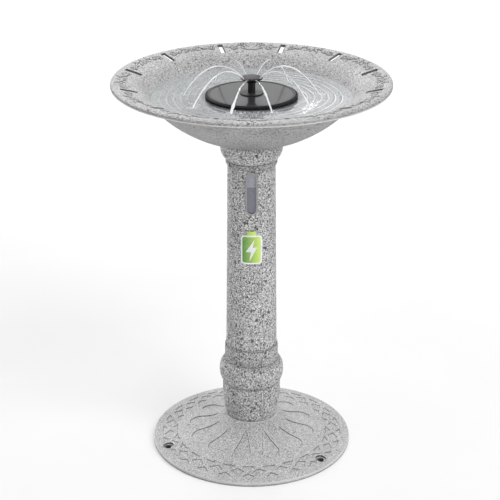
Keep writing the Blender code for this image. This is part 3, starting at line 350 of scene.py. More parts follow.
@dataclass(frozen=True)
class WaterFinish:
    """Clear water: whiter where the foam mark is set, which holds real foam and painted highlights,
    and darker with painted shade in the troughs beside the crests and round the float.
    """

    name: str
    clear: float = 0.30
    # opacity where the water is whitened with foam and painted highlights, and of the painted shade
    foam_and_highlight_share: float = 0.85
    shade_opacity: float = 0.62
    still_tone: Colour = (0.74, 0.77, 0.78)
    water_shade_tone: Colour = (0.05, 0.065, 0.07)
    foam_and_highlight_tone: Colour = (0.95, 0.96, 0.97)

    def build(self) -> Material:
        """Makes the material."""
        sketch = Sketch(self.name, Roughness=0.03, IOR=WATER_IOR)
        # the foam mark holds real foam and painted highlights; the second mark holds painted shade
        foam, water_shade = sketch.mark("foam"), sketch.mark("water_shade")
        still = sketch.mix("MIX", water_shade, self.still_tone, self.water_shade_tone)
        sketch.set("Base Color", sketch.mix("MIX", foam, still, self.foam_and_highlight_tone))
        drift = sketch.span(sketch.noise(90.0, 3.0), 0.3, 0.7, 0.75, 1.2)
        lit = sketch.span(foam, 0.0, 1.0, self.clear, self.foam_and_highlight_share)
        amount = sketch.maths("MAXIMUM", lit, sketch.maths("MULTIPLY", water_shade, self.shade_opacity))
        sketch.set("Alpha", sketch.maths("MULTIPLY", amount, drift))
        sketch.bump(sketch.noise(140.0, 2.0), 0.12, 0.0008)
        return sketch.material


@dataclass(frozen=True)
class JetFinish:
    """Running water: white as painted highlight, glowing faintly though it is no lamp, and with
    painted dark edges where it would bend the light away.
    """

    name: str
    # painted highlight tone, painted dark edge tone and the strength of the painted emission
    jet_highlight_tone: Colour = (0.97, 0.98, 1.0)
    rim: Colour = (0.08, 0.08, 0.09)
    painted_glow: float = 0.12

    def build(self) -> Material:
        """Makes the material."""
        sketch = Sketch(
            self.name,
            Roughness=0.08,
            IOR=WATER_IOR,
            Transmission_Weight=0.25,
            Emission_Strength=self.painted_glow,
        )
        # painted dark edges where the surface turns away
        rim = sketch.add("ShaderNodeLayerWeight", {"Blend": 0.5}).outputs["Facing"]
        streaks = sketch.maths("MULTIPLY", sketch.noise(420.0, 3.0), 0.35)
        edge = sketch.maths("ADD", rim, streaks)
        tone = sketch.ramp(edge, ((0.50, self.jet_highlight_tone), (0.80, self.rim)))
        sketch.set("Base Color", tone)
        # painted emission in the same tones
        sketch.set("Emission Color", tone)
        sketch.bump(streaks, 0.5, 0.0008)
        return sketch.material


@dataclass(frozen=True)
class WindowFinish:
    """Smoky clear plastic with the ballast water standing behind its lower part."""

    name: str
    air: Colour
    water: Colour
    level: float

    def build(self) -> Material:
        """Makes the material."""
        sketch = Sketch(self.name, Roughness=0.14, Coat_Weight=0.6, Coat_Roughness=0.05)
        height = sketch.add("ShaderNodeSeparateXYZ", {0: sketch.place}).outputs[2]
        filled = sketch.span(height, self.level - 0.0005, self.level + 0.0005, 0.0, 1.0)
        tint = sketch.mix("MIX", filled, self.water, self.air)
        haze = sketch.clouds(220.0, 0.84, 1.0)
        sketch.set("Base Color", sketch.mix("MULTIPLY", 1.0, tint, haze))
        sketch.bump(sketch.noise(300.0, 2.0), 0.05, 0.0003)
        return sketch.material


@dataclass(frozen=True)
class PrintFinish:
    """Printed vinyl that runs from one colour to another across the label."""

    name: str
    left: Colour
    right: Colour
    reach: float = 0.020

    def build(self) -> Material:
        """Makes the material."""
        sketch = Sketch(self.name, Roughness=0.38, Coat_Weight=0.3, Coat_Roughness=0.2)
        across = sketch.add("ShaderNodeSeparateXYZ", {0: sketch.place}).outputs[0]
        grain = sketch.maths("MULTIPLY", sketch.noise(260.0, 2.0), 0.25)
        share = sketch.span(across, -self.reach, self.reach, -0.12, 0.88)
        blend = sketch.maths("ADD", share, grain)
        half = tuple((a + b) / 2 for a, b in zip(self.left, self.right))
        stops = ((0.05, self.left), (0.5, half), (0.85, self.right))
        sketch.set("Base Color", sketch.ramp(blend, stops))
        sketch.bump(sketch.noise(800.0, 2.0), 0.08, 0.0002)
        return sketch.material


# ------------------------------------------------------------------ geometry
def wrapped(angle: np.ndarray | float, period: float) -> np.ndarray | float:
    """The angle folded into half a period on each side of 0."""
    return (angle + period / 2) % period - period / 2


def eased(value: np.ndarray, low: float, high: float) -> np.ndarray:
    """0 below low, 1 above high, and a soft step between."""
    share = np.clip((value - low) / (high - low), 0.0, 1.0)
    return share * share * (3 - 2 * share)


def round_point(radius: float, angle: float, height: float = 0.0) -> Vector:
    """The point at this radius and angle from the front."""
    return Vector((radius * math.sin(angle), -radius * math.cos(angle), height))


def flat_places(r: np.ndarray, phi: np.ndarray) -> tuple[np.ndarray, np.ndarray]:
    """The x and y at these radii and angles."""
    return r * np.sin(phi), -r * np.cos(phi)


def away_from(place: Vector, r: np.ndarray, phi: np.ndarray) -> np.ndarray:
    """How far these radii and angles lie from an upright line through the place."""
    x, y = flat_places(r, phi)
    return np.hypot(x - place.x, y - place.y)


def heights(node: str) -> tuple[float, float]:
    """The lowest and the highest point of a CAD node."""
    low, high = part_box(node)
    return low[2], high[2]


def outer_r(node: str) -> float:
    """The radius of a round CAD node."""
    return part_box(node)[1][0]


def stepped(wide: float, low: float, tall: float, steps: Iterable[Point]) -> list[Point]:
    """Points of an outline.

    Args:
        wide: Its widest radius.
        low: The height of its foot.
        tall: Its height.
        steps: How far in from the widest radius, and how high as a share, each point lies.

    Returns:
        The points (radius, height).
    """
    return [(wide - inward, low + share * tall) for inward, share in steps]


def spline(points: Sequence[Point], step: float) -> list[Point]:
    """A smooth curve through points, at an even spacing.

    Args:
        points: The points that the curve passes through.
        step: The spacing along the curve.

    Returns:
        The points of the curve, both ends included.
    """
    knots = np.array([points[0], *points, points[-1]], float)
    knots[0] = 2 * knots[1] - knots[2]
    knots[-1] = 2 * knots[-2] - knots[-3]
    curve = [knots[1]]
    for p0, p1, p2, p3 in zip(knots, knots[1:], knots[2:], knots[3:]):
        t0, t1, t2, t3 = np.cumsum(
            [0.0, *(math.sqrt(np.hypot(*(b - a))) for a, b in ((p0, p1), (p1, p2), (p2, p3)))]
        )
        count = max(2, round(float(np.hypot(*(p2 - p1))) / step))
        for t in np.linspace(t1, t2, count + 1)[1:]:
            a1 = (t1 - t) / (t1 - t0) * p0 + (t - t0) / (t1 - t0) * p1
            a2 = (t2 - t) / (t2 - t1) * p1 + (t - t1) / (t2 - t1) * p2
            a3 = (t3 - t) / (t3 - t2) * p2 + (t - t2) / (t3 - t2) * p3
            b1 = (t2 - t) / (t2 - t0) * a1 + (t - t0) / (t2 - t0) * a2
            b2 = (t3 - t) / (t3 - t1) * a2 + (t - t1) / (t3 - t1) * a3
            curve.append((t2 - t) / (t2 - t1) * b1 + (t - t1) / (t2 - t1) * b2)
    return [(float(r), float(z)) for r, z in curve]


def arc(centre: Point, radius: float, start: float, end: float, count: int) -> list[Point]:
    """Points on an arc, from start to end in degrees, where 0 points outwards."""
    angles = np.radians(np.linspace(start, end, count + 1))
    return [(centre[0] + radius * math.cos(a), centre[1] + radius * math.sin(a)) for a in angles]


def shifted(points: Sequence[Point], distance: float) -> list[Point]:
    """The outline moved sideways, to the right of the way that it runs."""
    line = np.array(points)
    along = np.gradient(line, axis=0)
    along /= np.linalg.norm(along, axis=1, keepdims=True)
    moved = line + distance * np.stack([along[:, 1], -along[:, 0]], axis=1)
    return [(float(r), float(z)) for r, z in moved]


def finished_mesh(mesh: Mesh, sharp: float = SHARP) -> Mesh:
    """Smooth shading, with edges over this angle in degrees kept sharp."""
    mesh.shade_smooth()
    mesh.set_sharp_from_angle(angle=math.radians(sharp))
    return mesh


def turned_mesh(
    name: str,
    outline: Sequence[Point],
    segments: int,
    relief: Relief | None = None,
    carved_rows: slice = slice(0, 0),
    sharp: float = SHARP,
) -> Mesh:
    """Turns an outline about Z.

    Args:
        name: The mesh's name.
        outline: Points (radius, height) down the outer side. An outline that starts and ends on
            the axis makes a solid, and any other is closed into a ring.
        segments: The number of steps round.
        relief: Height added at each radius and angle, for a carved or raised pattern.
        carved_rows: The points of the outline that the relief is added to.
        sharp: The angle in degrees over which edges are kept sharp.

    Returns:
        The closed mesh.
    """
    solid = outline[0][0] == 0.0
    rows = np.array(outline[1:-1] if solid else outline)
    angles = np.arange(segments) * TURN / segments
    r, phi = rows[:, :1], angles[None, :]
    z = np.broadcast_to(rows[:, 1:], (len(rows), segments)).copy()
    if relief is not None:
        start = carved_rows.start - (1 if solid else 0)
        some = slice(start, start + carved_rows.stop - carved_rows.start)
        shape = z[some].shape
        z[some] += relief(np.broadcast_to(r[some], shape), np.broadcast_to(phi, shape))
    grid = np.stack([*flat_places(r, phi), z], axis=-1).reshape(-1, 3)
    count = len(rows)
    row = np.arange(count - 1 if solid else count)[:, None]
    near, far = row * segments, (row + 1) % count * segments
    here = np.arange(segments)[None, :]
    ahead = (here + 1) % segments
    faces = np.stack([near + here, far + here, far + ahead, near + ahead], axis=-1)
    points, shapes = grid.tolist(), faces.reshape(-1, 4).tolist()
    if solid:
        top, bottom = len(points), len(points) + 1
        points += [(0.0, 0.0, outline[0][1]), (0.0, 0.0, outline[-1][1])]
        last = (count - 1) * segments
        for j in range(segments):
            k = (j + 1) % segments
            shapes += [(top, j, k), (bottom, last + k, last + j)]
    mesh = bpy.data.meshes.new(name)
    mesh.from_pydata(points, [], shapes)
    return finished_mesh(mesh, sharp)


def mark(mesh: Mesh, name: str, measure: Measure) -> None:
    """Stores a value on each of a mesh's points.

    Args:
        mesh: The mesh.
        name: The value's name.
        measure: Gives the values from the points' radii, angles and heights.
    """
    places = np.empty(len(mesh.vertices) * 3)
    mesh.vertices.foreach_get("co", places)
    x, y, z = places.reshape(-1, 3).T
    values = np.clip(measure(np.hypot(x, y), np.arctan2(x, -y), z), 0.0, 1.0)
    mesh.attributes.new(name, "FLOAT", "POINT").data.foreach_set("value", values)


def spread_out(cells: np.ndarray) -> np.ndarray:
    """The marked places and their neighbours on a grid that closes on itself sideways."""
    wide = cells | np.roll(cells, 1, 1) | np.roll(cells, -1, 1)
    tall = wide.copy()
    tall[1:] |= wide[:-1]
    tall[:-1] |= wide[1:]
    return tall


def island_mesh(
    name: str,
    radii: np.ndarray,
    angles: np.ndarray,
    low: np.ndarray,
    high: np.ndarray,
    mends: int = 4,
) -> Mesh:
    """Closed raised patches on a polar grid, wherever the top stands over the surface.

    Args:
        name: The mesh's name.
        radii: The grid's radii.
        angles: The grid's angles, all the way round.
        low: The height of the patches' backs at each radius.
        high: How far the patches stand over the surface at each radius and angle, with their
            backs' heights left out.
        mends: How often cells that meet only at a corner are joined.

    Returns:
        The closed mesh.
    """
    rows, columns = high.shape
    tall = high > 0
    kept = tall[:-1] | tall[1:]
    kept = kept | np.roll(kept, -1, axis=1)
    for _ in range(mends):
        right = np.roll(kept, -1, axis=1)
        crossed = kept[:-1] & right[1:] & ~kept[1:] & ~right[:-1]
        other = ~kept[:-1] & ~right[1:] & kept[1:] & right[:-1]
        kept[1:] |= crossed
        kept[:-1] |= other
    row, column = np.nonzero(kept)
    ahead = (column + 1) % columns
    corner = [row * columns + column, (row + 1) * columns + column]
    corner += [(row + 1) * columns + ahead, row * columns + ahead]
    total = rows * columns
    tops = np.stack(corner, axis=1)
    faces = [tops, tops[:, ::-1] + total]
    padded = np.pad(kept, ((1, 1), (0, 0)))
    beyond = (
        padded[row + 1, column - 1],
        padded[row + 2, column],
        padded[row + 1, ahead],
        padded[row, column],
    )
    for side, taken in enumerate(beyond):
        edge = tops[~taken]
        first, second = edge[:, side], edge[:, (side + 1) % 4]
        faces.append(np.stack([second, first, first + total, second + total], axis=1))
    shapes = np.concatenate(faces)
    used, shapes = np.unique(shapes, return_inverse=True)
    x, y = flat_places(*np.meshgrid(radii, angles, indexing="ij"))
    under = np.broadcast_to(low[:, None], high.shape)
    both = [np.stack([x, y, z], axis=-1).reshape(-1, 3) for z in (under + high, under)]
    points = np.concatenate(both)[used]
    mesh = bpy.data.meshes.new(name)
    mesh.from_pydata(points.tolist(), [], shapes.reshape(-1, 4).tolist())
    return finished_mesh(mesh, RELIEF_SHARP)


def add_piece(
    mesh: Mesh,
    material: Material,
    body: Body,
    replaces: Sequence[str] = (),
) -> bpy.types.Object:
    """Shows a mesh as a piece of the object.

    Args:
        mesh: The piece's mesh, in the frame's own coordinates. The piece takes its name.
        material: Its finish.
        body: The CAD body that it rides on.
        replaces: The CAD nodes that it stands for.

    Returns:
        The piece.
    """
    piece = bpy.data.objects.new(mesh.name, mesh)
    bpy.context.scene.collection.objects.link(piece)
    mesh.materials.clear()
    mesh.materials.append(material)
    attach(piece, body.value)
    if replaces:
        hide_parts(*replaces)
    LOG.info("%s: %d faces on %s", piece.name, len(mesh.polygons), body.value)
    return piece


def carved(mesh: Mesh, cutters: Iterable[Mesh]) -> Mesh:
    """Cuts solids out of a mesh.

    Args:
        mesh: The mesh to cut.
        cutters: Closed meshes in the same coordinates.

    Returns:
        The mesh that is left, under the same name.
    """
    scene = bpy.context.scene
    block = bpy.data.objects.new("block", mesh)
    scene.collection.objects.link(block)
    tools = []
    for cutter in cutters:
        tool = bpy.data.objects.new("tool", cutter)
        scene.collection.objects.link(tool)
        modifier = block.modifiers.new("cut", "BOOLEAN")
        modifier.object = tool
        modifier.operation = "DIFFERENCE"
        modifier.solver = "EXACT"
        tools.append(tool)
    graph = bpy.context.evaluated_depsgraph_get()
    name = mesh.name
    result = bpy.data.meshes.new_from_object(block.evaluated_get(graph))
    for thing in (block, *tools):
        bpy.data.objects.remove(thing)
    mesh.name = name + "_blank"
    result.name = name
    return finished_mesh(result)


def built_mesh(name: str, fill: Callable[[Builder], None]) -> Mesh:
    """A mesh that the function draws into a bmesh."""
    builder = bmesh.new()
    fill(builder)
    bmesh.ops.recalc_face_normals(builder, faces=builder.faces)
    mesh = bpy.data.meshes.new(name)
    builder.to_mesh(mesh)
    builder.free()
    return mesh


def post_into(
    builder: Builder, radius: float, low: float, high: float, at: Vector, sides: int = 40
) -> None:
    """Adds an upright cylinder to a bmesh."""
    middle = Matrix.Translation((at.x, at.y, (low + high) / 2))
    bmesh.ops.create_cone(
        builder,
        cap_ends=True,
        segments=sides,
        radius1=radius,
        radius2=radius,
        depth=high - low,
        matrix=middle,
    )


def slab_into(builder: Builder, outline: Iterable[Point], near: float, far: float) -> None:
    """Adds an upright slab to a bmesh.

    Args:
        builder: The bmesh.
        outline: Points (across, height) round the slab's edge.
        near: Where one face stands along Y.
        far: Where the other face stands.
    """
    face = builder.faces.new([builder.verts.new((x, near, z)) for x, z in outline])
    grown = bmesh.ops.extrude_face_region(builder, geom=[face])
    for vert in grown["geom"]:
        if isinstance(vert, bmesh.types.BMVert):
            vert.co.y = far


def bent_patch(
    name: str,
    outline: Sequence[Point],
    shaft: Callable[[float], float],
    low: float,
    high: float,
    step: float = 0.0015,
) -> Mesh:
    """A flat shape wrapped round the front of the shaft.

    Args:
        name: The mesh's name.
        outline: Points (across, height) round the shape's edge.
        shaft: The shaft's radius at a height.
        low: How far the patch's back stands off the shaft.
        high: How far its face stands off the shaft.
        step: The width of the strips that it bends in.

    Returns:
        The closed mesh.
    """

    def draw(builder: Builder) -> None:
        """Draws the shape flat, in strips, and bends it."""
        slab_into(builder, outline, low, high)
        reach = max(x for x, _ in outline)
        for place in np.arange(-reach + step, reach, step):
            parts = [*builder.verts, *builder.edges, *builder.faces]
            bmesh.ops.bisect_plane(builder, geom=parts, plane_co=(place, 0, 0), plane_no=(1, 0, 0))
        bmesh.ops.triangulate(builder, faces=builder.faces)
        for vert in builder.verts:
            across, depth, height = vert.co
            radius = shaft(height)
            vert.co = round_point(radius + depth, across / radius, height)

    return finished_mesh(built_mesh(name, draw))


def rounded_box(half_w: float, half_h: float, corner: float, middle: float) -> list[Point]:
    """The outline of an upright rectangle with round corners, centred at the height middle."""
    points: list[Point] = []
    for side, rise, start in ((1, -1, -90), (1, 1, 0), (-1, 1, 90), (-1, -1, 180)):
        centre = (side * (half_w - corner), middle + rise * (half_h - corner))
        points += arc(centre, corner, start, start + 90, 6)
    return points


# ------------------------------------------------------------------ raised ornament
@dataclass(frozen=True)
class Vine:
    """A raised line through points (across, outwards)."""

    points: tuple[Point, ...]
    half_width: float = 0.0011
    height: float = 0.0019

    def raised(self, x: np.ndarray, y: np.ndarray) -> np.ndarray:
        """The vine's height at each place."""
        nearest = np.full(x.shape, np.inf)
        for (x0, y0), (x1, y1) in zip(self.points, self.points[1:]):
            run, rise = x1 - x0, y1 - y0
            share = ((x - x0) * run + (y - y0) * rise) / (run * run + rise * rise)
            share = np.clip(share, 0.0, 1.0)
            away = np.hypot(x - x0 - share * run, y - y0 - share * rise)
            nearest = np.minimum(nearest, away)
        return self.height * np.sqrt(np.clip(1 - (nearest / self.half_width) ** 2, 0.0, 1.0))


@dataclass(frozen=True)
class Leaf:
    """A raised pointed leaf with a groove down its middle."""

    root: Point
    heading: float
    length: float
    half_width: float = 0.0028
    height: float = 0.0022

    def raised(self, x: np.ndarray, y: np.ndarray) -> np.ndarray:
        """The leaf's height at each place."""
        side, out = math.sin(self.heading), math.cos(self.heading)
        dx, dy = x - self.root[0], y - self.root[1]
        along = np.clip((dx * side + dy * out) / self.length, 0.0, 1.0)
        off = dx * out - dy * side
        edge = self.half_width * np.sin(math.pi * along**0.75) ** 0.8
        inside = np.clip((edge - np.abs(off)) / self.half_width, 0.0, 1.0)
        groove = 1 - 0.55 * np.exp(-((off / 0.0005) ** 2))
        return self.height * np.sqrt(inside) * groove


def curl(centre: Point, outer: float, inner: float, start: float, sweep: float) -> list[Point]:
    """A spiral line, from its outer end to its inner end, with its angles in radians."""
    shares = np.linspace(0.0, 1.0, 22)
    return [
        (
            centre[0] + (outer + (inner - outer) * t) * math.sin(start + sweep * t),
            centre[1] + (outer + (inner - outer) * t) * math.cos(start + sweep * t),
        )
        for t in shares
    ]


class Motif(Enum):
    """The two patterns on the rim, one in each space between slots."""

    PALMETTE = "palmette"
    SPRAY = "spray"

    def shapes(self) -> list[Vine | Leaf]:
        """The shapes on the right half of the pattern, about its middle."""
        if self is Motif.PALMETTE:
            fan = [
                Leaf((0.0, -0.012), heading, 0.030 - 0.006 * heading, 0.0030)
                for heading in (0.0, 0.42, 0.84, 1.25)
            ]
            scroll = Vine(tuple(curl((0.0190, 0.0060), 0.0075, 0.0012, -2.6, 8.5)))
            tail = Vine(tuple(curl((0.0330, -0.0050), 0.0062, 0.0012, -1.2, -8.0)))
            buds = [Leaf((0.0260, 0.0000), 1.1, 0.014), Leaf((0.0400, -0.0010), 1.5, 0.011)]
            return [*fan, scroll, tail, *buds]
        places = [*np.linspace(0.0, 0.038, 20), 0.006, 0.014, 0.022, 0.030]
        wave = [(x, 0.0050 * math.sin(x * 118.0) + 0.002) for x in places]
        stem, roots = tuple(wave[:20]), wave[20:]
        leaves = [Leaf((0.0, -0.004), 0.0, 0.018, 0.0030)]
        for index, root in enumerate(roots):
            way = 1 if index % 2 else -1
            leaves.append(Leaf(root, math.pi / 2 - way * 0.85, 0.0125 - 0.001 * index))
        end = Vine(tuple(curl((0.0400, 0.0010), 0.0068, 0.0012, 3.4, -8.0)))
        return [Vine(stem), end, *leaves]


# ------------------------------------------------------------------ base
@dataclass
class BasePlate:
    """The domed base, with petals sunk round the column and a lattice border near its edge."""

    finish: GraniteFinish
    node: str = "base_plate"
    bore_r: float = 0.034
    collar_wall: float = 0.0055
    collar_h: float = 0.026
    seat_r: float = 0.0515
    edge_h: float = 0.0085
    wall: float = 0.003
    foot_w: float = 0.0075
    petals: int = 12
    first_petal: float = math.radians(-9.5)
    petal_r: float = 0.1055
    petal_root_r: float = 0.058
    petal_half_w: float = 0.0165
    petal_depth: float = 0.0019
    cells: int = 24
    first_cell: float = math.radians(-2.0)
    border_r: float = 0.1585
    border_half: float = 0.0145
    strip_w: float = 0.0085
    cell_depth: float = 0.0015
    stakes: int = 3
    first_stake: float = math.radians(50.5)
    stake_circle_r: float = 0.170
    stake_clear: tuple[float, float] = (0.0135, 0.0160)
    sink_r: float = 0.010
    sink_floor: float = 0.006
    hole_r: float = 0.005
    boss_wall: float = 0.0035
    edge_round: float = 0.002
    # strengths of the painted shade and of the painted highlights
    relief_shade: float = 0.72
    sink_shade: float = 0.85
    side_shade: float = 0.68
    edge_highlight: float = 0.7
    brim_highlight: float = 0.5
    brim_w: float = 0.0012
    segments: int = 1440
    curve: tuple[Point, ...] = (
        (0.00, 0.00),
        (0.13, 0.06),
        (0.29, 0.14),
        (0.47, 0.24),
        (0.65, 0.375),
        (0.80, 0.54),
        (0.905, 0.74),
        (1.00, 1.00),
    )
    radius: float = field(init=False)
    height: float = field(init=False)

    def __post_init__(self) -> None:
        """Takes the overall sizes from the frame."""
        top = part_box(self.node)[1]
        self.radius, self.height = top[0], top[2]

    def stake_places(self) -> list[Vector]:
        """The middles of the stake holes."""
        angles = (self.first_stake + TURN * k / self.stakes for k in range(self.stakes))
        return [round_point(self.stake_circle_r, angle) for angle in angles]

    def sunk_petals(self, r: np.ndarray, phi: np.ndarray) -> np.ndarray:
        """How deep the petals are sunk at each place, as a height below 0."""
        across = np.abs(r * wrapped(phi - self.first_petal, TURN / self.petals))
        root, end = self.petal_root_r, self.petal_r
        taper = self.petal_half_w * np.clip((r - root) / (end - root), 0.0, 1.0) ** 0.85 - across
        cap = self.petal_half_w - np.hypot(across, r - end)
        inside = np.where(r > end, cap, taper)
        return -self.petal_depth * eased(inside, 0.0, 0.0011) * eased(r, root + 0.001, root + 0.014)

    def sunk_cells(self, r: np.ndarray, phi: np.ndarray) -> np.ndarray:
        """How deep the lattice's triangles and diamonds are sunk, as a height below 0."""
        pitch = TURN / self.cells
        across = np.abs(wrapped(phi - self.first_cell, pitch)) * r
        rise = np.abs(r - self.border_r)
        slope = self.border_half / (self.border_r * pitch / 2)
        off_strip = np.abs(rise - slope * across) / math.hypot(1.0, slope) - self.strip_w / 2
        inside = np.minimum(off_strip, self.border_half - rise)
        return -self.cell_depth * eased(inside, 0.0, 0.0008)

    def relief(self, r: np.ndarray, phi: np.ndarray) -> np.ndarray:
        """The whole pattern's height over the dome, kept clear of the stake holes."""
        depth = self.sunk_petals(r, phi) + self.sunk_cells(r, phi)
        for place in self.stake_places():
            depth = depth * eased(away_from(place, r, phi), *self.stake_clear)
        return depth

    def shade_marks(self, r: np.ndarray, phi: np.ndarray, z: np.ndarray) -> np.ndarray:
        """Painted shade on the steep sides of the pattern, round the stake seats, in the stake
        holes and on the base's outer side.
        """
        step = 0.0004
        out = self.relief(r + step, phi) - self.relief(r - step, phi)
        turn = step / np.maximum(r, 0.01)
        round_ = self.relief(r, phi + turn) - self.relief(r, phi - turn)
        steep = np.hypot(out, round_) / (2 * step)
        dark = self.relief_shade * eased(steep, 0.5, 1.5) * (z > self.edge_h)
        # painted shade round the stake seats and in the holes
        for place in self.stake_places():
            away = away_from(place, r, phi)
            dark = np.maximum(dark, self.sink_shade * (np.abs(away - self.sink_r) < 0.0002))
            dark = np.maximum(dark, 1.0 * (away < self.hole_r + 0.0002))
        # painted shade on the base's outer side
        side = (r > self.radius - 0.0016) & (z < self.edge_h - 0.0035)
        return np.maximum(dark, self.side_shade * side)

    def highlight_marks(self, r: np.ndarray, phi: np.ndarray, z: np.ndarray) -> np.ndarray:
        """Painted highlight on the rounded edge of the base and on the petals' brims."""

        def sunk(aside: float) -> np.ndarray:
            """Where a petal is sunk, so far round from each place."""
            angle = phi + aside / np.maximum(r, 0.01)
            return self.sunk_petals(r, angle) < -0.02 * self.petal_depth

        # painted highlight on the rounded edge and beside the sunk petals
        edge = self.edge_highlight * eased(r, self.radius - 0.0016, self.radius - 0.0006)
        brim = (sunk(-self.brim_w) | sunk(self.brim_w)) & ~sunk(0.0) & (z > self.edge_h)
        return np.maximum(edge * (z > self.edge_h - 0.0022), self.brim_highlight * brim)

    def outline(self) -> tuple[list[Point], slice]:
        """The base's section, and which of its points lie on the dome."""
        run, rise = self.radius - self.seat_r, self.height - self.edge_h
        knots = [(self.radius - run * t, self.edge_h + rise * h) for t, h in reversed(self.curve)]
        dome = spline(knots, 0.0008)
        turn = self.edge_round
        edge = arc((self.radius - turn, self.edge_h - turn), turn, 90, 0, 6)
        inner_foot = self.radius - self.foot_w
        seat = [(self.bore_r, self.height), (self.bore_r + 0.001, self.height)]
        under = [
            p
            for p in shifted(spline(knots, 0.004), self.wall)
            if self.seat_r + 0.001 < p[0] < inner_foot - 0.004
        ]
        collar_r, collar_low = self.bore_r + self.collar_wall, self.height - self.collar_h
        rest = [
            (self.radius, 0.001),
            (self.radius - 0.001, 0.0),
            (inner_foot, 0.0),
            (inner_foot, self.edge_h - self.wall),
            *reversed(under),
            (self.seat_r - self.wall, self.height - self.wall),
            (collar_r, self.height - self.wall),
            (collar_r, collar_low),
            (self.bore_r, collar_low),
        ]
        top = [*seat, *dome[:-1]]
        return [*top, *edge, *rest], slice(len(seat), len(top))

    def cutters(self) -> list[Mesh]:
        """The solids that leave the stake holes and their sunk seats."""

        def sinks(builder: Builder) -> None:
            """Draws the sunk seats."""
            for place in self.stake_places():
                post_into(builder, self.sink_r, self.sink_floor, self.height, place)

        def holes(builder: Builder) -> None:
            """Draws the holes."""
            for place in self.stake_places():
                post_into(builder, self.hole_r, -0.01, self.height, place)

        return [built_mesh("sinks", sinks), built_mesh("holes", holes)]

    def bosses(self) -> Mesh:
        """The posts under the dome that the stake holes run through."""

        def draw(builder: Builder) -> None:
            """Draws three short rings."""
            for place in self.stake_places():
                post_into(builder, self.sink_r + self.boss_wall, 0.0002, self.edge_h, place)

        mesh = built_mesh("stake_bosses", draw)
        mesh = carved(mesh, self.cutters()[1:])
        # painted shade in the stake holes
        mark(mesh, "groove", self.shade_marks)
        return mesh

    def build(self) -> None:
        """Makes the base's pieces."""
        outline, dome = self.outline()
        mesh = turned_mesh("base_casting", outline, self.segments, self.relief, dome)
        material = self.finish.build()
        mesh = carved(mesh, self.cutters())
        # painted shade and painted highlights stored on the mesh
        mark(mesh, "groove", self.shade_marks)
        mark(mesh, "painted_highlight", self.highlight_marks)
        add_piece(mesh, material, Body.BASE, [self.node])
        add_piece(self.bosses(), material, Body.BASE)


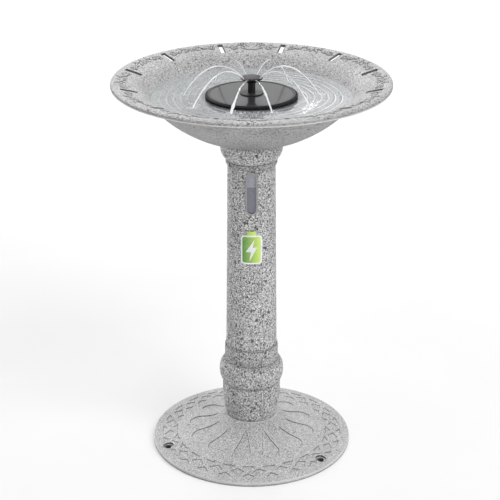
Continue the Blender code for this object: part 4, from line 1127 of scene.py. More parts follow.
# ------------------------------------------------------------------ column
@dataclass
class Column:
    """The foot with its bead, the tapering tube with its window and label, and the neck bulb.

    The tables bead, cup and bulb hold the steps of an outline: how far in from its widest radius
    and how high, as a share, each point lies. The table bolt holds shares of the label's half
    width and half height.
    """

    stone: GraniteFinish
    window: WindowFinish
    border: MouldedFinish
    charge: PrintFinish
    cap: PrintFinish
    segments: int = 128
    tube_bottom_r: float = 0.0484
    tube_top_r: float = 0.0437
    tube_wall: float = 0.003
    cuff_r: float = 0.0503
    cuff_h: float = 0.031
    lip_r: float = 0.0471
    lip_h: float = 0.0075
    bead_r: float = 0.0608
    cup_r: float = 0.0548
    crease_r: float = 0.0532
    bore_r: float = 0.0305
    collar_r: float = 0.0325
    plug_r: float = 0.0353
    plug_bore_r: float = 0.0313
    chamber_r: float = 0.0365
    chamber_low: float = 0.022
    chamber_high: float = 0.014
    label_lift: float = 0.0007
    label_t: float = 0.0003
    tab_half_w: float = 0.0080
    tab_h: float = 0.008
    border_w: float = 0.0028
    # how far the painted shade reaches from each crease
    crease_reach: float = 0.0018
    bead: tuple[Point, ...] = (
        (0.0068, 0.983),
        (0.0022, 0.925),
        (0.0, 0.800),
        (0.0020, 0.690),
        (0.0055, 0.632),
    )
    cup: tuple[Point, ...] = (
        (0.0003, 0.585),
        (0.0, 0.450),
        (0.0010, 0.286),
        (0.0030, 0.165),
        (0.0050, 0.060),
    )
    bulb: tuple[Point, ...] = (
        (0.0, 0.78),
        (0.0008, 0.56),
        (0.0021, 0.38),
        (0.0053, 0.19),
        (0.0100, 0.03),
        (0.0115, 0.0),
    )
    bolt: tuple[Point, ...] = (
        (0.28, 0.74),
        (0.10, 0.17),
        (0.52, 0.17),
        (-0.20, -0.78),
        (-0.05, -0.14),
        (-0.54, -0.14),
    )

    def shaft_r(self, height: float) -> float:
        """The plain shaft's radius at a height."""
        low, high = heights("column_tube")
        share = min(max((height - low) / (high - low), 0.0), 1.0)
        return self.tube_bottom_r + (self.tube_top_r - self.tube_bottom_r) * share**0.85

    def crease_shade(self, *heights: float) -> Measure:
        """Gives the painted shade at each crease at these heights."""

        def dark(r: np.ndarray, phi: np.ndarray, z: np.ndarray) -> np.ndarray:
            """How dark it is there, from 0 to 1."""
            away = np.min([np.abs(z - height) for height in heights], axis=0)
            # painted shade, darkest at each crease
            return 0.55 * np.exp(-away / self.crease_reach)

        return dark

    def build_foot(self, material: Material) -> None:
        """Makes the foot: a cup, a crease and the fat bead over it."""
        low, tenon_high = heights("column_foot")
        seat, top = heights("base_plate")[1] + GAP, heights("column_tube")[0] - GAP
        tall = top - seat
        tenon_r = self.tube_bottom_r - self.tube_wall - GAP
        bead = spline(
            [
                (self.tube_bottom_r + 0.0005, top),
                *stepped(self.bead_r, seat, tall, self.bead),
                (self.crease_r, seat + 0.612 * tall),
            ],
            0.0012,
        )
        cup = spline(
            [
                (self.crease_r, seat + 0.607 * tall),
                *stepped(self.cup_r, seat, tall, self.cup),
                (self.cup_r - 0.0062, seat + 0.004),
                (self.cup_r - 0.0068, seat),
            ],
            0.002,
        )
        outline = [
            (tenon_r - 0.004, tenon_high),
            (tenon_r, tenon_high),
            (tenon_r, top),
            *bead,
            *cup,
            (self.bore_r + 0.003, seat),
            (self.bore_r + 0.003, low),
            (self.bore_r, low),
            (self.bore_r, seat + 0.004),
            (self.cup_r - 0.010, seat + 0.006),
            (self.cup_r - 0.005, seat + 0.4 * tall),
            (self.cup_r - 0.005, seat + 0.9 * tall),
            (tenon_r - 0.004, top - 0.002),
        ]
        mesh = turned_mesh("foot_casting", outline, self.segments)
        # painted shade at the bead's crease, the seat and the top
        mark(mesh, "groove", self.crease_shade(seat + 0.61 * tall, seat, top))
        add_piece(mesh, material, Body.COLUMN, ["column_foot"])

    def build_tube(self, material: Material) -> None:
        """Makes the tube, with its cuff, its lip and the opening for the window."""
        low, high = heights("column_tube")
        cuff_top, lip_low = low + self.cuff_h, high - self.lip_h
        shaft = [(self.shaft_r(z), z) for z in np.linspace(lip_low - 0.004, cuff_top + 0.0012, 60)]
        bore = [(r - self.tube_wall, z) for r, z in reversed(shaft[4::8])]
        outline = [
            (self.lip_r - self.tube_wall, high),
            (self.lip_r - 0.0008, high),
            *arc((self.lip_r - 0.0008, high - 0.0008), 0.0008, 75, 0, 3),
            (self.lip_r, lip_low + 0.0010),
            (self.lip_r - 0.0004, lip_low + 0.0002),
            (self.lip_r - 0.0016, lip_low - 0.0010),
            *shaft,
            (self.cuff_r - 0.0011, cuff_top + 0.0004),
            (self.cuff_r - 0.0003, cuff_top - 0.0006),
            (self.cuff_r, cuff_top - 0.002),
            (self.cuff_r, low + 0.0014),
            (self.cuff_r - 0.0012, low),
            (self.tube_bottom_r - self.tube_wall, low),
            *bore,
            (self.tube_top_r - self.tube_wall, high - 0.004),
            (self.lip_r - self.tube_wall, high - 0.004),
        ]
        mesh = turned_mesh("tube_casting", outline, self.segments)
        edge_low, edge_high = (Vector(corner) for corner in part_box("window_bezel"))
        half_w = edge_high.x + GAP
        half_h = (edge_high.z - edge_low.z) / 2 + GAP
        middle = (edge_low.z + edge_high.z) / 2

        def opening(builder: Builder) -> None:
            """Draws the window's opening."""
            edge = rounded_box(half_w, half_h, half_w - 1e-6, middle)
            slab_into(builder, edge, -0.07, -0.02)

        mesh = carved(mesh, [built_mesh("opening", opening)])
        # painted shade at the tube's ends, cuff and lip
        mark(mesh, "groove", self.crease_shade(low, cuff_top + 0.001, lip_low - 0.001, high))
        add_piece(mesh, material, Body.COLUMN, ["column_tube"])

    def build_bulb(self, material: Material) -> None:
        """Makes the bulb that the basin stands on."""
        plug_low, high = heights("neck_bulb")
        low, wide = heights("column_tube")[1] + GAP, outer_r("neck_bulb")
        tall = high - low
        shoulder = [(wide - 0.0031, high), (wide - 0.0008, high - 0.09 * tall)]
        outline = [
            (self.collar_r, high),
            *spline([*shoulder, *stepped(wide, low, tall, self.bulb)], 0.0012),
            (self.plug_r, low),
            (self.plug_r, plug_low),
            (self.plug_bore_r, plug_low),
            (self.plug_bore_r, high - self.chamber_low),
            (self.chamber_r, high - self.chamber_low),
            (self.chamber_r, high - self.chamber_high),
            (self.collar_r, high - self.chamber_high),
        ]
        mesh = turned_mesh("bulb_casting", outline, self.segments)
        # painted shade at the bulb's top and bottom
        mark(mesh, "groove", self.crease_shade(high, low))
        add_piece(mesh, material, Body.COLUMN, ["neck_bulb"])

    def build_label(self) -> None:
        """Makes the printed faces of the battery sign: the charge, its terminal and the bolt."""
        low, high = (Vector(corner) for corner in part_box("battery_label"))
        body_top, tab_half = high.z - self.tab_h, self.tab_h / 2
        middle, half_h, half_w = (low.z + body_top) / 2, (body_top - low.z) / 2, high.x
        border, back = self.border_w, self.label_lift
        face = back + self.label_t
        inset = rounded_box(half_w - border, half_h - border, 0.0042, middle)
        tab = rounded_box(self.tab_half_w, tab_half - 0.0002, 0.0012, body_top + tab_half + 0.0004)
        bolt = [(x * half_w, middle + z * half_h) for x, z in self.bolt]
        for name, outline, finish, low_side, high_side in (
            ("label_charge", inset, self.charge, back, face),
            ("label_terminal", tab, self.cap, back, face),
            ("label_bolt", bolt, self.border, back + 0.0002, back + 0.0006),
        ):
            mesh = bent_patch(name, outline, self.shaft_r, low_side, high_side)
            add_piece(mesh, finish.build(), Body.COLUMN)

    def build(self) -> None:
        """Makes the column's pieces."""
        stone = self.stone.build()
        self.build_foot(stone)
        self.build_tube(stone)
        self.build_bulb(stone)
        self.build_label()


# ------------------------------------------------------------------ basin
@dataclass
class Basin:
    """The wide bowl, its sloping rim with slots, and the raised leaves between them."""

    finish: GraniteFinish
    node: str = "basin"
    wall: float = 0.004
    seat_r: float = 0.0555
    recess_r: float = 0.0323
    recess_h: float = 0.003
    boss_r: float = 0.036
    boss_h: float = 0.0082
    slots: int = 12
    slot_w: float = 0.009
    slot_inner_r: float = 0.206
    slot_outer_r: float = 0.236
    rim_r: float = 0.2045
    ornament_r: float = 0.2265
    segments: int = 540
    ornament_end: tuple[float, float] = (0.2440, 0.2475)
    ornament_step: float = 0.00045
    ornament_sink: float = 0.0006
    lip_fall: float = 0.0086
    boss_round: float = 0.003
    # strengths of the painted highlight on the lip and of the painted shade in the slots and at the
    # leaves' feet
    lip_highlight_share: float = 0.9
    slot_shade: float = 0.85
    foot_shade: float = 0.80
    apron_cells: int = 2
    curve: tuple[Point, ...] = (
        (0.252, 0.005),
        (0.338, 0.059),
        (0.398, 0.113),
        (0.448, 0.168),
        (0.529, 0.276),
        (0.600, 0.390),
        (0.660, 0.507),
        (0.712, 0.628),
        (0.760, 0.762),
        (0.820, 0.873),
        (0.944, 0.958),
    )
    radius: float = field(init=False)
    seat_z: float = field(init=False)
    crest_z: float = field(init=False)

    def __post_init__(self) -> None:
        """Takes the overall sizes from the frame."""
        low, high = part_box(self.node)
        self.radius, self.seat_z, self.crest_z = high[0], low[2], high[2]

    @property
    def pitch(self) -> float:
        """The angle from one slot to the next."""
        return TURN / self.slots

    @property
    def boss_z(self) -> float:
        """The height of the floor's raised middle."""
        return self.seat_z + self.wall + self.boss_h

    def under(self) -> list[Point]:
        """The bowl's outer side, from its seat out to the rim."""
        rise = self.crest_z - self.seat_z
        knots = [(self.radius * r, self.seat_z + rise * h) for r, h in self.curve]
        return spline(knots, 0.0013)

    def bowl(self) -> list[Point]:
        """The bowl's inner side, from its floor out to the rim."""
        return shifted(self.under(), -self.wall)

    def bowl_r(self, height: float) -> float:
        """The inner radius of the bowl at a height."""
        radii, heights = zip(*self.bowl())
        return float(np.interp(height, heights, radii))

    def relief(self, r: np.ndarray, phi: np.ndarray) -> np.ndarray:
        """The height of the leaves and vines on the rim."""
        sector = np.round(phi / self.pitch).astype(int) % self.slots
        across = np.abs(wrapped(phi, self.pitch)) * r
        out = r - self.ornament_r
        raised = np.zeros(r.shape)
        for motif in Motif:
            full = np.zeros(r.shape)
            for shape in motif.shapes():
                full = np.maximum(full, shape.raised(across, out))
            has_palmette = (sector == 0) | (sector == self.slots // 2)
            here = has_palmette if motif is Motif.PALMETTE else ~has_palmette
            raised = np.where(here, full, raised)
        half_slot = self.slot_w / 2
        clear = eased(r * self.pitch / 2 - across, half_slot + 0.001, half_slot + 0.003)
        band = eased(r, self.rim_r, self.rim_r + 0.003) * (1 - eased(r, *self.ornament_end))
        return raised * clear * band

    def outline(self) -> list[Point]:
        """The basin's section."""
        boss_z, floor_z, turn = self.boss_z, self.seat_z + self.wall, self.boss_round
        rim = [p for p in self.bowl() if p[0] >= self.rim_r]
        bowl = [p for p in self.bowl() if p[0] < self.rim_r]
        lip_z = self.crest_z - self.lip_fall
        crest = spline(
            [
                rim[-1],
                (self.radius - 0.0105, self.crest_z - 0.0001),
                (self.radius - 0.0060, self.crest_z),
                (self.radius - 0.0025, self.crest_z - 0.0012),
                (self.radius - 0.0004, self.crest_z - 0.0034),
                (self.radius, self.crest_z - 0.0055),
            ],
            0.0009,
        )[1:]
        floor = [
            (0.0, boss_z),
            (self.boss_r - turn, boss_z),
            *arc((self.boss_r - turn, boss_z - turn), turn, 75, 0, 4),
            (self.boss_r + 0.001, floor_z + 0.002),
            (self.boss_r + 0.003, floor_z),
        ]
        lip = [
            (self.radius, lip_z + 0.0010),
            *arc((self.radius - 0.0010, lip_z + 0.0010), 0.0010, -30, -90, 2),
            (self.radius - 0.0035, lip_z),
        ]
        top = [*floor, *bowl, *rim, *crest]
        seat = [
            (self.seat_r, self.seat_z),
            (self.recess_r, self.seat_z),
            (self.recess_r, self.seat_z + self.recess_h),
            (0.0, self.seat_z + self.recess_h),
        ]
        return [*top, *lip, *reversed(self.under()), *seat]

    def slot_cutter(self) -> Mesh:
        """The solids that leave the slots, with their upright corners rounded."""

        def draw(builder: Builder) -> None:
            """Draws the slots."""
            long = self.slot_outer_r - self.slot_inner_r
            middle_r = (self.slot_outer_r + self.slot_inner_r) / 2
            for k in range(self.slots):
                angle = TURN * (k + 0.5) / self.slots
                place = Matrix.Translation(round_point(middle_r, angle, self.crest_z))
                size = Matrix.Diagonal((self.slot_w, long, 0.05, 1))
                turned = Matrix.Rotation(angle, 4, "Z") @ size
                bmesh.ops.create_cube(builder, size=1.0, matrix=place @ turned)
            upright = [e for e in builder.edges if abs(e.verts[0].co.z - e.verts[1].co.z) > 0.01]
            bmesh.ops.bevel(
                builder, geom=upright, offset=0.0016, segments=4, profile=0.5, affect="EDGES"
            )

        return built_mesh("slots", draw)

    def rim_height(self, r: np.ndarray) -> np.ndarray:
        """The height of the rim's top at each radius."""
        top = [p for p in self.outline() if p[1] > self.seat_z + 0.5 * (self.crest_z - self.seat_z)]
        inner = [p for n, p in enumerate(top) if n == 0 or p[0] > max(q[0] for q in top[:n])]
        radii, heights = zip(*inner)
        return np.interp(r, radii, heights)

    def lip_highlight(self, r: np.ndarray, phi: np.ndarray, z: np.ndarray) -> np.ndarray:
        """Painted highlight on the lower outer face of the lip."""
        low = z < self.crest_z - 0.0062
        return self.lip_highlight_share * eased(r, self.radius - 0.0020, self.radius - 0.0010) * low

    def shaded_places(self, r: np.ndarray, phi: np.ndarray, z: np.ndarray) -> np.ndarray:
        """Painted shade on the slots' sides and on the middle of the underside."""
        across = np.abs(wrapped(phi - self.pitch / 2, self.pitch)) * r
        beside = np.abs(r - (self.slot_inner_r + self.slot_outer_r) / 2)
        half = (self.slot_outer_r - self.slot_inner_r) / 2
        slot = (across < self.slot_w / 2 + 0.0001) & (beside < half + 0.0001)
        under = z < np.interp(r, *zip(*self.under())) + self.wall * 0.5
        # painted shade under the bowl, strongest near the middle
        under_shade = (0.34 + 0.40 * (1 - eased(r, 0.06, 0.17))) * under
        return np.maximum(under_shade, self.slot_shade * slot)

    def ornament_mesh(self) -> Mesh:
        """The raised leaves and vines, as closed patches let into the rim."""
        columns = round(TURN * self.ornament_r / self.ornament_step / self.slots) * self.slots
        angles = np.arange(columns) * TURN / columns
        radii = np.arange(self.rim_r, self.radius - 0.0030, self.ornament_step)
        r, phi = np.meshgrid(radii, angles, indexing="ij")
        raised = self.relief(r, phi)
        shown = raised > 0.00008
        apron = shown
        for _ in range(self.apron_cells):
            apron = spread_out(apron)
        edge = spread_out(apron)
        low = self.rim_height(radii) - self.ornament_sink
        high = np.where(edge, self.ornament_sink - 0.00012, 0.0)
        high = np.where(apron, self.ornament_sink + 0.00006, high)
        high = np.where(shown, self.ornament_sink + np.maximum(raised, 0.00006), high)
        return island_mesh("rim_ornament", radii, angles, low, high)

    def ornament_foot_shade(self, r: np.ndarray, phi: np.ndarray, z: np.ndarray) -> np.ndarray:
        """Painted shade at the feet of the raised leaves."""
        return self.foot_shade * (1 - eased(z - self.rim_height(r), 0.0002, 0.0010))

    def build(self) -> None:
        """Makes the basin's pieces."""
        material = self.finish.build()
        mesh = turned_mesh("basin_casting", self.outline(), self.segments)
        mesh = carved(mesh, [self.slot_cutter()])
        # painted highlight on the lip, painted shade in the slots and under the bowl
        mark(mesh, "painted_highlight", self.lip_highlight)
        mark(mesh, "groove", self.shaded_places)
        add_piece(mesh, material, Body.BOWL, [self.node])
        ornament = self.ornament_mesh()
        # painted shade at the leaves' feet
        mark(ornament, "groove", self.ornament_foot_shade)
        add_piece(ornament, material, Body.BOWL)


# ------------------------------------------------------------------ fountain
@dataclass
class Fountain:
    """The parts of the floating fountain that need a finer shape than the frame gives."""

    rubber: MouldedFinish
    black: MouldedFinish
    ribs: int = 78
    rib_depth: float = 0.0022
    lip_h: float = 0.0030
    tyre_round: float = 0.0012
    jet_circle_r: float = 0.0165
    jet_hole_r: float = 0.0011

    def build_bumper(self) -> None:
        """Makes the ribbed ring round the float."""
        low, high = heights("bumper_ring")
        outer = outer_r("bumper_ring")
        inner, turn = outer_r("float_housing") + GAP, self.tyre_round
        outline = [
            (inner, high),
            *arc((outer - turn, high - turn), turn, 90, 0, 5),
            *[(outer, float(z)) for z in np.linspace(high - 0.0015, low + 0.0015, 15)],
            *arc((outer - turn, low + turn), turn, 0, -90, 5),
            (inner, low),
        ]
        mesh = turned_mesh("bumper_tyre", outline, self.ribs * 10)
        for vert in mesh.vertices:
            r = math.hypot(vert.co.x, vert.co.y)
            if r > inner + 0.001 and vert.co.z < high - self.lip_h:
                phi = math.atan2(vert.co.x, -vert.co.y)
                dip = self.rib_depth * (1 - abs(math.cos(phi * self.ribs / 2)) ** 0.7)
                vert.co.xy *= (r - dip) / r
        add_piece(mesh, self.rubber.build(), Body.FOUNTAIN, ["bumper_ring"])

    def build_cap(self, angles: Sequence[float]) -> None:
        """Makes the spray head, with a hole for each jet.

        Args:
            angles: The jets' angles.
        """
        low, top = heights("nozzle_cap")
        wide, socket_r = outer_r("nozzle_cap"), outer_r("riser_tube") + 0.0005
        falls = ((0.0, 0.0), (0.5, 0.0003), (0.86, 0.0012), (1.0, 0.0024))
        face = spline([(share * wide, top - fall) for share, fall in falls], 0.0010)
        outline = [
            *face,
            (wide, top - 0.0036),
            *arc((wide - 0.0010, top - 0.0036), 0.0010, -20, -70, 3),
            (socket_r + 0.0030, low + 0.0026),
            (socket_r + 0.0014, low + 0.0018),
            (socket_r + 0.0014, low),
            (socket_r, low),
            (socket_r, low + 0.0045),
            (0.004, low + 0.0045),
            (0.004, low + 0.0058),
            (0.0145, low + 0.0070),
            (0.0145, top - 0.0027),
            (0.0, top - 0.0019),
        ]
        mesh = turned_mesh("spray_head", outline, 96)

        def holes(builder: Builder) -> None:
            """Draws the jets' holes."""
            for angle in angles:
                place = round_point(self.jet_circle_r, angle)
                post_into(builder, self.jet_hole_r, top - 0.0036, top + 0.001, place, 16)

        mesh = carved(mesh, [built_mesh("spray_holes", holes)])
        add_piece(mesh, self.black.build(), Body.NOZZLE, ["nozzle_cap"])


# ------------------------------------------------------------------ water
@dataclass(frozen=True)
class Jet:
    """One jet of water from the spray head.

    Attributes:
        angle: Its direction.
        reach: The radius where it meets the pool.
        crest: The height of its highest point over the spray head.
        radius: Half its thickness where it falls.
        wobble: Where its ripples start, so that no two jets are alike.
        start: The radius where it leaves the spray head, and its height from the head's top.
        count: The number of points along it.
        sides: The number of points round it.
    """

    angle: float
    reach: float
    crest: float
    radius: float
    wobble: float
    start: Point = (0.0165, -0.0018)

    count: int = 90
    sides: int = 12

    def path(self, head_z: float, pool_z: float) -> list[Point]:
        """The jet's curve as points (radius, height)."""
        start_r, start_z = self.start[0], head_z + self.start[1]
        drop, far = start_z - pool_z, self.reach - start_r
        bend = (math.sqrt(self.crest) + math.sqrt(self.crest + drop)) / far
        rise = 2 * bend * math.sqrt(self.crest)
        runs = np.linspace(0.0, far, self.count)
        return [(start_r + u, start_z + rise * u - (bend * u) ** 2) for u in runs]

    def ring(self, path: Sequence[Point], k: int) -> list[Vector]:
        """The points round the jet at one point of its curve."""
        r, z = path[k]
        before, after = path[max(k - 1, 0)], path[min(k + 1, self.count - 1)]
        tilt = math.atan2(after[1] - before[1], after[0] - before[0])
        lift = round_point(-math.sin(tilt), self.angle, 0.0)
        lift.z = math.cos(tilt)
        sideways = round_point(1.0, self.angle + math.pi / 2)
        t = k / (self.count - 1)
        ripple = math.sin(31 * t + self.wobble) + 0.6 * math.sin(67 * t + 2.1 * self.wobble)
        size = self.radius * (0.55 + 0.45 * t) * (1 + 0.16 * t * ripple)
        middle = round_point(r, self.angle, z)
        points = []
        for j in range(self.sides):
            a = TURN * j / self.sides
            flat = 1 + 0.18 * math.sin(2 * a + 9 * t + self.wobble)
            offset = sideways * math.cos(a) + lift * math.sin(a)
            points.append(middle + offset * size * flat)
        return points

    def mesh(self, name: str, head_z: float, pool_z: float) -> Mesh:
        """A closed rope of water along the curve, thin at the nozzle and lumpy lower down."""
        path = self.path(head_z, pool_z - 0.0008)

        def draw(builder: Builder) -> None:
            """Draws the rope, ring by ring."""
            places = (self.ring(path, k) for k in range(self.count))
            rings = [[builder.verts.new(point) for point in ring] for ring in places]
            for near, far in zip(rings, rings[1:]):
                for j in range(self.sides):
                    i = (j + 1) % self.sides
                    builder.faces.new((near[j], near[i], far[i], far[j]))
            builder.faces.new(rings[0])
            builder.faces.new(rings[-1])

        return finished_mesh(built_mesh(name, draw), WATER_SHARP)


@dataclass
class Water:
    """The pool in the bowl, its ripples, the jets and the drops that they throw up."""

    pool: WaterFinish
    stream: JetFinish
    basin: Basin
    freeboard: float = 0.0057
    jets: tuple[Jet, ...] = (
        Jet(math.radians(-20), 0.105, 0.0010, 0.0027, 0.3, (0.0180, -0.0026)),
        Jet(math.radians(20), 0.105, 0.0010, 0.0025, 1.9, (0.0180, -0.0026)),
        Jet(math.radians(-57), 0.122, 0.0185, 0.0016, 2.7),
        Jet(math.radians(57), 0.122, 0.0185, 0.0016, 4.2),
        Jet(math.radians(-95), 0.122, 0.0190, 0.0017, 5.1),
        Jet(math.radians(95), 0.122, 0.0190, 0.0017, 0.9),
        Jet(math.radians(-145), 0.118, 0.0190, 0.0017, 3.3),
        Jet(math.radians(145), 0.118, 0.0190, 0.0017, 2.2),
    )
    segments: int = 540
    ring_shift: float = 0.010
    ring_wave: float = 0.0125
    ring_h: float = 0.00042
    splash_wave: float = 0.0062
    splash_h: float = 0.00055
    splash_reach: float = 0.013
    drops: int = 11
    drop_swell: float = 1.3
    seed: int = 41

    @property
    def level(self) -> float:
        """The height of the pool's surface."""
        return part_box("solar_panel")[1][2] - self.freeboard

    def landings(self) -> list[Vector]:
        """Where the jets meet the pool."""
        return [round_point(jet.reach, jet.angle) for jet in self.jets]

    def ring_turns(self, r: np.ndarray, phi: np.ndarray) -> np.ndarray:
        """How many round ripples lie between their middle and each place."""
        x, y = flat_places(r, phi)
        return np.hypot(x - self.ring_shift, y) / self.ring_wave

    def ring_strength(self, r: np.ndarray, phi: np.ndarray) -> np.ndarray:
        """How strong the round ripples are: most on the right, and none at the float."""
        side = 0.34 + 0.66 * np.clip(0.5 + 0.6 * np.sin(phi), 0.0, 1.0) ** 1.6
        edge = self.basin.bowl_r(self.level)
        return side * eased(r, 0.086, 0.100) * (1 - eased(r, edge - 0.014, edge - 0.003))

    def ripples(self, r: np.ndarray, phi: np.ndarray) -> np.ndarray:
        """The height of the surface over the pool's level."""
        wave = np.cos(TURN * self.ring_turns(r, phi))
        height = self.ring_h * self.ring_strength(r, phi) * wave
        for landing in self.landings():
            away = away_from(landing, r, phi)
            fall = self.splash_h * np.exp(-away / self.splash_reach)
            height = height + fall * np.cos(TURN * away / self.splash_wave)
        return height

    def surface(self, z: np.ndarray) -> np.ndarray:
        """1 on the pool's surface and 0 under it."""
        return (z > self.level - 0.0016).astype(float)

    def crests(self, r: np.ndarray, phi: np.ndarray, ahead: float) -> np.ndarray:
        """Where the round ripples crest, or beside their crests.

        Args:
            r: The radii.
            phi: The angles.
            ahead: How far beside the crest to look, as a share of the wave.

        Returns:
            The strength of the crest, from 0 to 1.
        """
        wave = self.ring_turns(r, phi) + ahead
        drift = 0.10 * np.sin(3 * phi) + 0.07 * np.sin(7 * phi + 1.0)
        lines = eased(np.cos(TURN * (wave + drift)), 0.72, 0.95)
        patchy = np.clip(0.55 + 0.5 * np.sin(4 * phi + 70 * r) * np.sin(9 * phi - 2.1), 0.0, 1.0)
        return lines * self.ring_strength(r, phi) * (0.45 + 0.55 * patchy)

    def foam(self, r: np.ndarray, phi: np.ndarray, z: np.ndarray) -> np.ndarray:
        """How white the surface is at each place, from 0 to 1: real foam where the jets land,
        painted highlights along the ripples' crests and the rings round each landing, and white
        flecks between the front jets.
        """
        x, y = flat_places(r, phi)
        # painted highlights along the round ripples' crests
        foam_and_highlight_share = self.crests(r, phi, 0.0)
        for landing in self.landings():
            away = away_from(landing, r, phi)
            # real foam where the jet lands, and painted highlights on the rings round it
            lumps = 0.5 + 0.5 * np.sin(x * 2100.0) * np.sin(y * 1900.0 + 1.0)
            spray = np.exp(-((away / 0.0075) ** 2)) * lumps
            rings = 0.6 * eased(np.cos(TURN * away / self.splash_wave), 0.6, 1.0)
            foam_and_highlight_share = np.maximum(foam_and_highlight_share, np.maximum(spray, rings * np.exp(-away / 0.012)))
        return np.maximum(foam_and_highlight_share, 0.9 * self.speckle(x, y, 0.0)) * self.surface(z)

    def speckle(self, x: np.ndarray, y: np.ndarray, shift: float) -> np.ndarray:
        """Flecks between the two front jets' landings, from 0 to 1."""
        near = eased(-y, 0.082, 0.092) * (1 - eased(np.hypot(x, y), 0.118, 0.136))
        near = near * (1 - eased(np.abs(x), 0.040, 0.075))
        across = np.sin(x * 1310 + 3 * np.sin(y * 420) + shift)
        along = np.sin(y * 1010 + 2 * np.sin(x * 510) + shift)
        return near * eased(across * along, 0.15, 0.75)

    def water_shade_marks(self, r: np.ndarray, phi: np.ndarray, z: np.ndarray) -> np.ndarray:
        """Painted shade on the surface, from 0 to 1: beside the ripples' crests, in the rings round
        each landing, in flecks between the front jets, and a painted shadow round the float.
        """
        # painted shade beside the ripples' crests
        dark = self.crests(r, phi, 0.16)
        for landing in self.landings():
            away = away_from(landing, r, phi)
            rings = 0.6 * eased(-np.cos(TURN * away / self.splash_wave), 0.7, 1.0)
            dark = np.maximum(dark, rings * np.exp(-away / 0.010))
        # painted shadow of the float on the water round it
        edge = 0.95 * (1 - eased(r, 0.0825, 0.0915))
        dark = np.maximum(dark, 0.8 * self.speckle(*flat_places(r, phi), 2.4))
        return np.maximum(dark, edge) * self.surface(z)

    def build_pool(self) -> None:
        """Makes the water in the bowl, with its broken places marked on the mesh."""
        edge = self.basin.bowl_r(self.level) - GAP
        top = [(float(r), self.level) for r in np.linspace(0.0, edge, 170)]
        inner = shifted(self.basin.bowl(), -0.0004)
        wall = [p for p in reversed(inner) if p[1] < self.level - 0.002 and p[0] > 0.066]
        floor_z = wall[-1][1] - 0.0008
        boss_z = self.basin.boss_z + 0.0004
        boss_r = self.basin.boss_r + 0.0036
        rest = [*wall, (boss_r + 0.006, floor_z), (boss_r, boss_z), (0.0, boss_z)]
        waved = slice(1, len(top) - 1)
        outline = [*top, *rest]
        mesh = turned_mesh("bowl_water", outline, self.segments, self.ripples, waved, RELIEF_SHARP)
        # real foam and painted highlights, then painted shade, stored on the surface
        mark(mesh, "foam", self.foam)
        mark(mesh, "water_shade", self.water_shade_marks)
        add_piece(mesh, self.pool.build(), Body.BOWL)

    def build_jets(self, material: Material) -> None:
        """Makes the jets."""
        head_z = heights("nozzle_cap")[1]
        for number, jet in enumerate(self.jets, 1):
            mesh = jet.mesh(f"water_jet_{number}", head_z, self.level)
            add_piece(mesh, material, Body.NOZZLE)

    def splash_into(self, landing: Vector, chance: random.Random, builder: Builder) -> None:
        """Adds the drops round one landing to a bmesh."""
        for _ in range(self.drops):
            angle, away = chance.uniform(0, TURN), chance.triangular(0.001, 0.014, 0.004)
            size = chance.uniform(0.0004, 0.0009) * self.drop_swell
            rise = max(0.0, chance.gauss(0.0015, 0.0022))
            place = landing + Vector((math.sin(angle) * away, math.cos(angle) * away, 0))
            place.z = self.level + rise
            squeeze = Matrix.Diagonal((1.0, 1.0, chance.uniform(0.8, 1.4), 1.0))
            matrix = Matrix.Translation(place) @ squeeze
            bmesh.ops.create_icosphere(builder, subdivisions=2, radius=size, matrix=matrix)

    def build_drops(self, material: Material) -> None:
        """Makes the drops thrown up where the jets land."""
        chance = random.Random(self.seed)
        for number, landing in enumerate(self.landings(), 1):
            draw = partial(self.splash_into, landing, chance)
            splash = built_mesh(f"water_drops_{number}", draw)
            add_piece(finished_mesh(splash, WATER_SHARP), material, Body.BOWL)

    def build(self) -> None:
        """Makes all the water."""
        self.build_pool()
        material = self.stream.build()
        self.build_jets(material)
        self.build_drops(material)


# ------------------------------------------------------------------ finishes of the frame's nodes
def dress_nodes(finishes: dict[str, Finish]) -> None:
    """Gives each CAD node that still shows its finish.

    Args:
        finishes: A finish for each node's name.
    """
    made: dict[int, Material] = {}
    for name, finish in finishes.items():
        material = made.setdefault(id(finish), finish.build())
        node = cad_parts[name]
        node.data.materials.clear()
        node.data.materials.append(material)
        LOG.info("%s: dressed in %s", name, material.name)


# ------------------------------------------------------------------ studio
@dataclass(frozen=True)
class Lamp:
    """A soft light.

    Attributes:
        name: Its name.
        angle: The side that it shines from.
        climb: How high it stands, as an angle.
        strength: Its strength.
        softness: How wide it looks from the object.
        shadow: Whether it casts shadows.
    """

    name: str
    angle: float
    climb: float
    strength: float
    softness: float
    shadow: bool = True


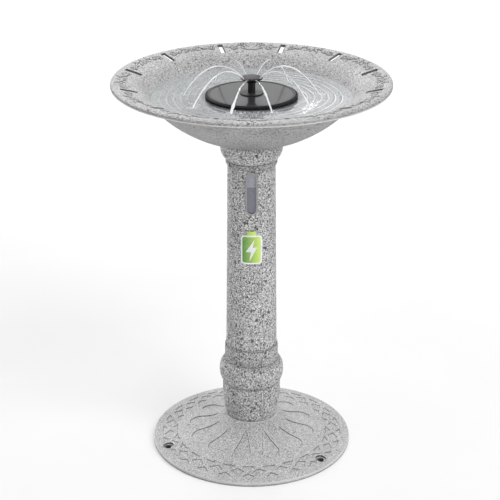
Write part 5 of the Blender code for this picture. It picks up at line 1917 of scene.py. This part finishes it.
@dataclass
class Studio:
    """The pale floor, the soft lights and the camera."""

    distance: float = 2.5854
    height: float = 1.4935
    sideways: float = -0.0028
    down: float = math.radians(23.045)
    lens: float = 109.0
    floor_half: float = 30.0
    air: float = 0.44
    lamps: tuple[Lamp, ...] = (
        Lamp("key_light", math.radians(-142), math.radians(40), 1.85, math.radians(10), False),
        Lamp("front_light", math.radians(48), math.radians(34), 1.35, math.radians(45)),
    )
    lamp_away: float = 3.0
    card_size: float = 2.6
    card_watts: float = 22.0
    card_place: tuple[float, float, float] = (0.0, 3.2, 2.2)
    card_aim: tuple[float, float, float] = (0.0, 0.0, 0.7)
    sensor: float = 36.0

    def build_floor(self) -> None:
        """Lays the floor."""

        def draw(builder: Builder) -> None:
            """Draws the floor's square."""
            bmesh.ops.create_grid(builder, x_segments=1, y_segments=1, size=self.floor_half)

        floor = bpy.data.objects.new("studio_floor", built_mesh("studio_floor", draw))
        bpy.context.scene.collection.objects.link(floor)
        floor.location.z = -0.0002
        paper = Sketch("studio_paper", Roughness=0.95, Specular_IOR_Level=0.1)
        paper.set("Base Color", paper.clouds(3.0, 0.86, 0.88, 2.0))
        floor.data.materials.append(paper.material)

    def add_light(self, lamp: Lamp) -> None:
        """Hangs a soft far light."""
        data = bpy.data.lights.new(lamp.name, "SUN")
        data.energy, data.angle = lamp.strength, lamp.softness
        data.use_shadow = lamp.shadow
        light = bpy.data.objects.new(lamp.name, data)
        bpy.context.scene.collection.objects.link(light)
        flat = math.cos(lamp.climb)
        towards = round_point(flat, lamp.angle, math.sin(lamp.climb))
        light.location = towards * self.lamp_away
        light.rotation_euler = (-towards).to_track_quat("-Z", "Y").to_euler()

    def add_card(self) -> None:
        """Hangs the bright card behind the object, which shows in its shiny faces."""
        data = bpy.data.lights.new("back_card", "AREA")
        data.shape, data.size, data.energy = "SQUARE", self.card_size, self.card_watts
        card = bpy.data.objects.new("back_card", data)
        bpy.context.scene.collection.objects.link(card)
        card.location = self.card_place
        way = Vector(self.card_aim) - card.location
        card.rotation_euler = way.to_track_quat("-Z", "Y").to_euler()

    def fill_air(self) -> None:
        """Lights the scene evenly from all round."""
        world = bpy.data.worlds.new("studio_air")
        world.use_nodes = True
        sky = world.node_tree.nodes["Background"]
        sky.inputs["Color"].default_value = (*grey(1.0), 1.0)
        sky.inputs["Strength"].default_value = self.air
        bpy.context.scene.world = world

    def add_camera(self) -> None:
        """Sets up the camera in front of the object, tilted down at it."""
        data = bpy.data.cameras.new("studio_camera")
        data.lens, data.sensor_width = self.lens, self.sensor
        camera = bpy.data.objects.new("studio_camera", data)
        bpy.context.scene.collection.objects.link(camera)
        camera.location = (self.sideways, -self.distance, self.height)
        camera.rotation_euler = (math.pi / 2 - self.down, 0.0, 0.0)
        bpy.context.scene.camera = camera

    def build(self) -> None:
        """Makes the studio."""
        self.build_floor()
        for lamp in self.lamps:
            self.add_light(lamp)
        self.add_card()
        self.fill_air()
        bpy.context.scene.view_settings.view_transform = "Standard"
        self.add_camera()


def main() -> None:
    """Builds the bird bath's looks, in order, and reports each piece."""
    logging.basicConfig(level=logging.INFO, format="%(message)s", stream=sys.stdout)
    rim_stone = GraniteFinish(
        "rim_granite", dark=grey(0.11), middle=grey(0.40), light=grey(0.70), grain=600.0
    )
    column_stone = GraniteFinish(
        "column_granite", middle=grey(0.26), light=grey(0.60), grain=420.0, fleck_share=0.12
    )
    base_stone = GraniteFinish(
        "base_granite",
        dark=grey(0.14),
        middle=grey(0.36),
        light=grey(0.55),
        grain=640.0,
        fleck_share=0.05,
        shade_tone=grey(0.045),
    )
    black = MouldedFinish("black_moulding", (0.010, 0.010, 0.011), 0.40, shine=0.35)
    rubber = MouldedFinish("black_rubber", (0.007, 0.007, 0.007), 0.62, 1200.0, 0.3, 0.2)
    grey_plastic = MouldedFinish("grey_moulding", (0.30, 0.30, 0.31), 0.35)
    white = MouldedFinish("white_print", (0.80, 0.82, 0.82), 0.42, 900.0, 0.08)
    clear = MouldedFinish("tank_moulding", (0.55, 0.58, 0.62), 0.25)
    steel = MetalFinish("plain_steel", (0.55, 0.55, 0.57))
    winding = MetalFinish("copper_winding", (0.55, 0.25, 0.12), 0.4)
    magnet = MouldedFinish("sintered_magnet", (0.05, 0.05, 0.052), 0.55, 700.0, 0.4)
    foam = FoamFinish("filter_foam", (0.05, 0.05, 0.05))
    wrap = MouldedFinish("cell_wrap", (0.05, 0.16, 0.42), 0.3)
    board = MouldedFinish("circuit_board", (0.01, 0.11, 0.04), 0.35, 500.0, 0.2)

    basin = Basin(rim_stone)
    water = Water(WaterFinish("pool_water"), JetFinish("running_water"), basin)
    low, high = heights("sight_window")
    level = low + WINDOW_FILL * (high - low)
    window = WindowFinish("window_pane", (0.36, 0.37, 0.42), (0.20, 0.20, 0.25), level)
    charge = PrintFinish("label_charge", (0.06, 0.27, 0.05), (0.60, 0.80, 0.16))
    cap = PrintFinish("label_cap", (0.42, 0.66, 0.08), (0.66, 0.84, 0.20), 0.008)
    fountain = Fountain(rubber, black)

    BasePlate(base_stone).build()
    Column(column_stone, window, white, charge, cap).build()
    basin.build()
    fountain.build_bumper()
    fountain.build_cap([jet.angle for jet in water.jets])
    water.build()
    screws = [f"case_screw_{k}" for k in range(1, 5)] + [f"spigot_screw_{k}" for k in range(1, 4)]
    dress_nodes(
        {
            "sight_window": window,
            "battery_label": white,
            "solar_panel": PanelFinish("solar_cells"),
            "rotor_magnet": magnet,
            "motor_stator": winding,
            "battery_cell": wrap,
            "control_board": board,
            "ballast_tank": clear,
            **dict.fromkeys(("foam_filter", "float_foam"), foam),
            **dict.fromkeys(
                ("window_bezel", "window_retainer", "basin_spigot", "impeller"), grey_plastic
            ),
            **dict.fromkeys(("window_gasket", "foot_seal", "neck_seal", "power_button"), rubber),
            **dict.fromkeys(
                (
                    "float_housing",
                    "float_cover",
                    "pump_body",
                    "inlet_cover",
                    "riser_tube",
                    "strainer_cap",
                ),
                black,
            ),
            **dict.fromkeys((*screws, "impeller_shaft"), steel),
        }
    )
    Studio().build()


if __name__ == "__main__":
    main()
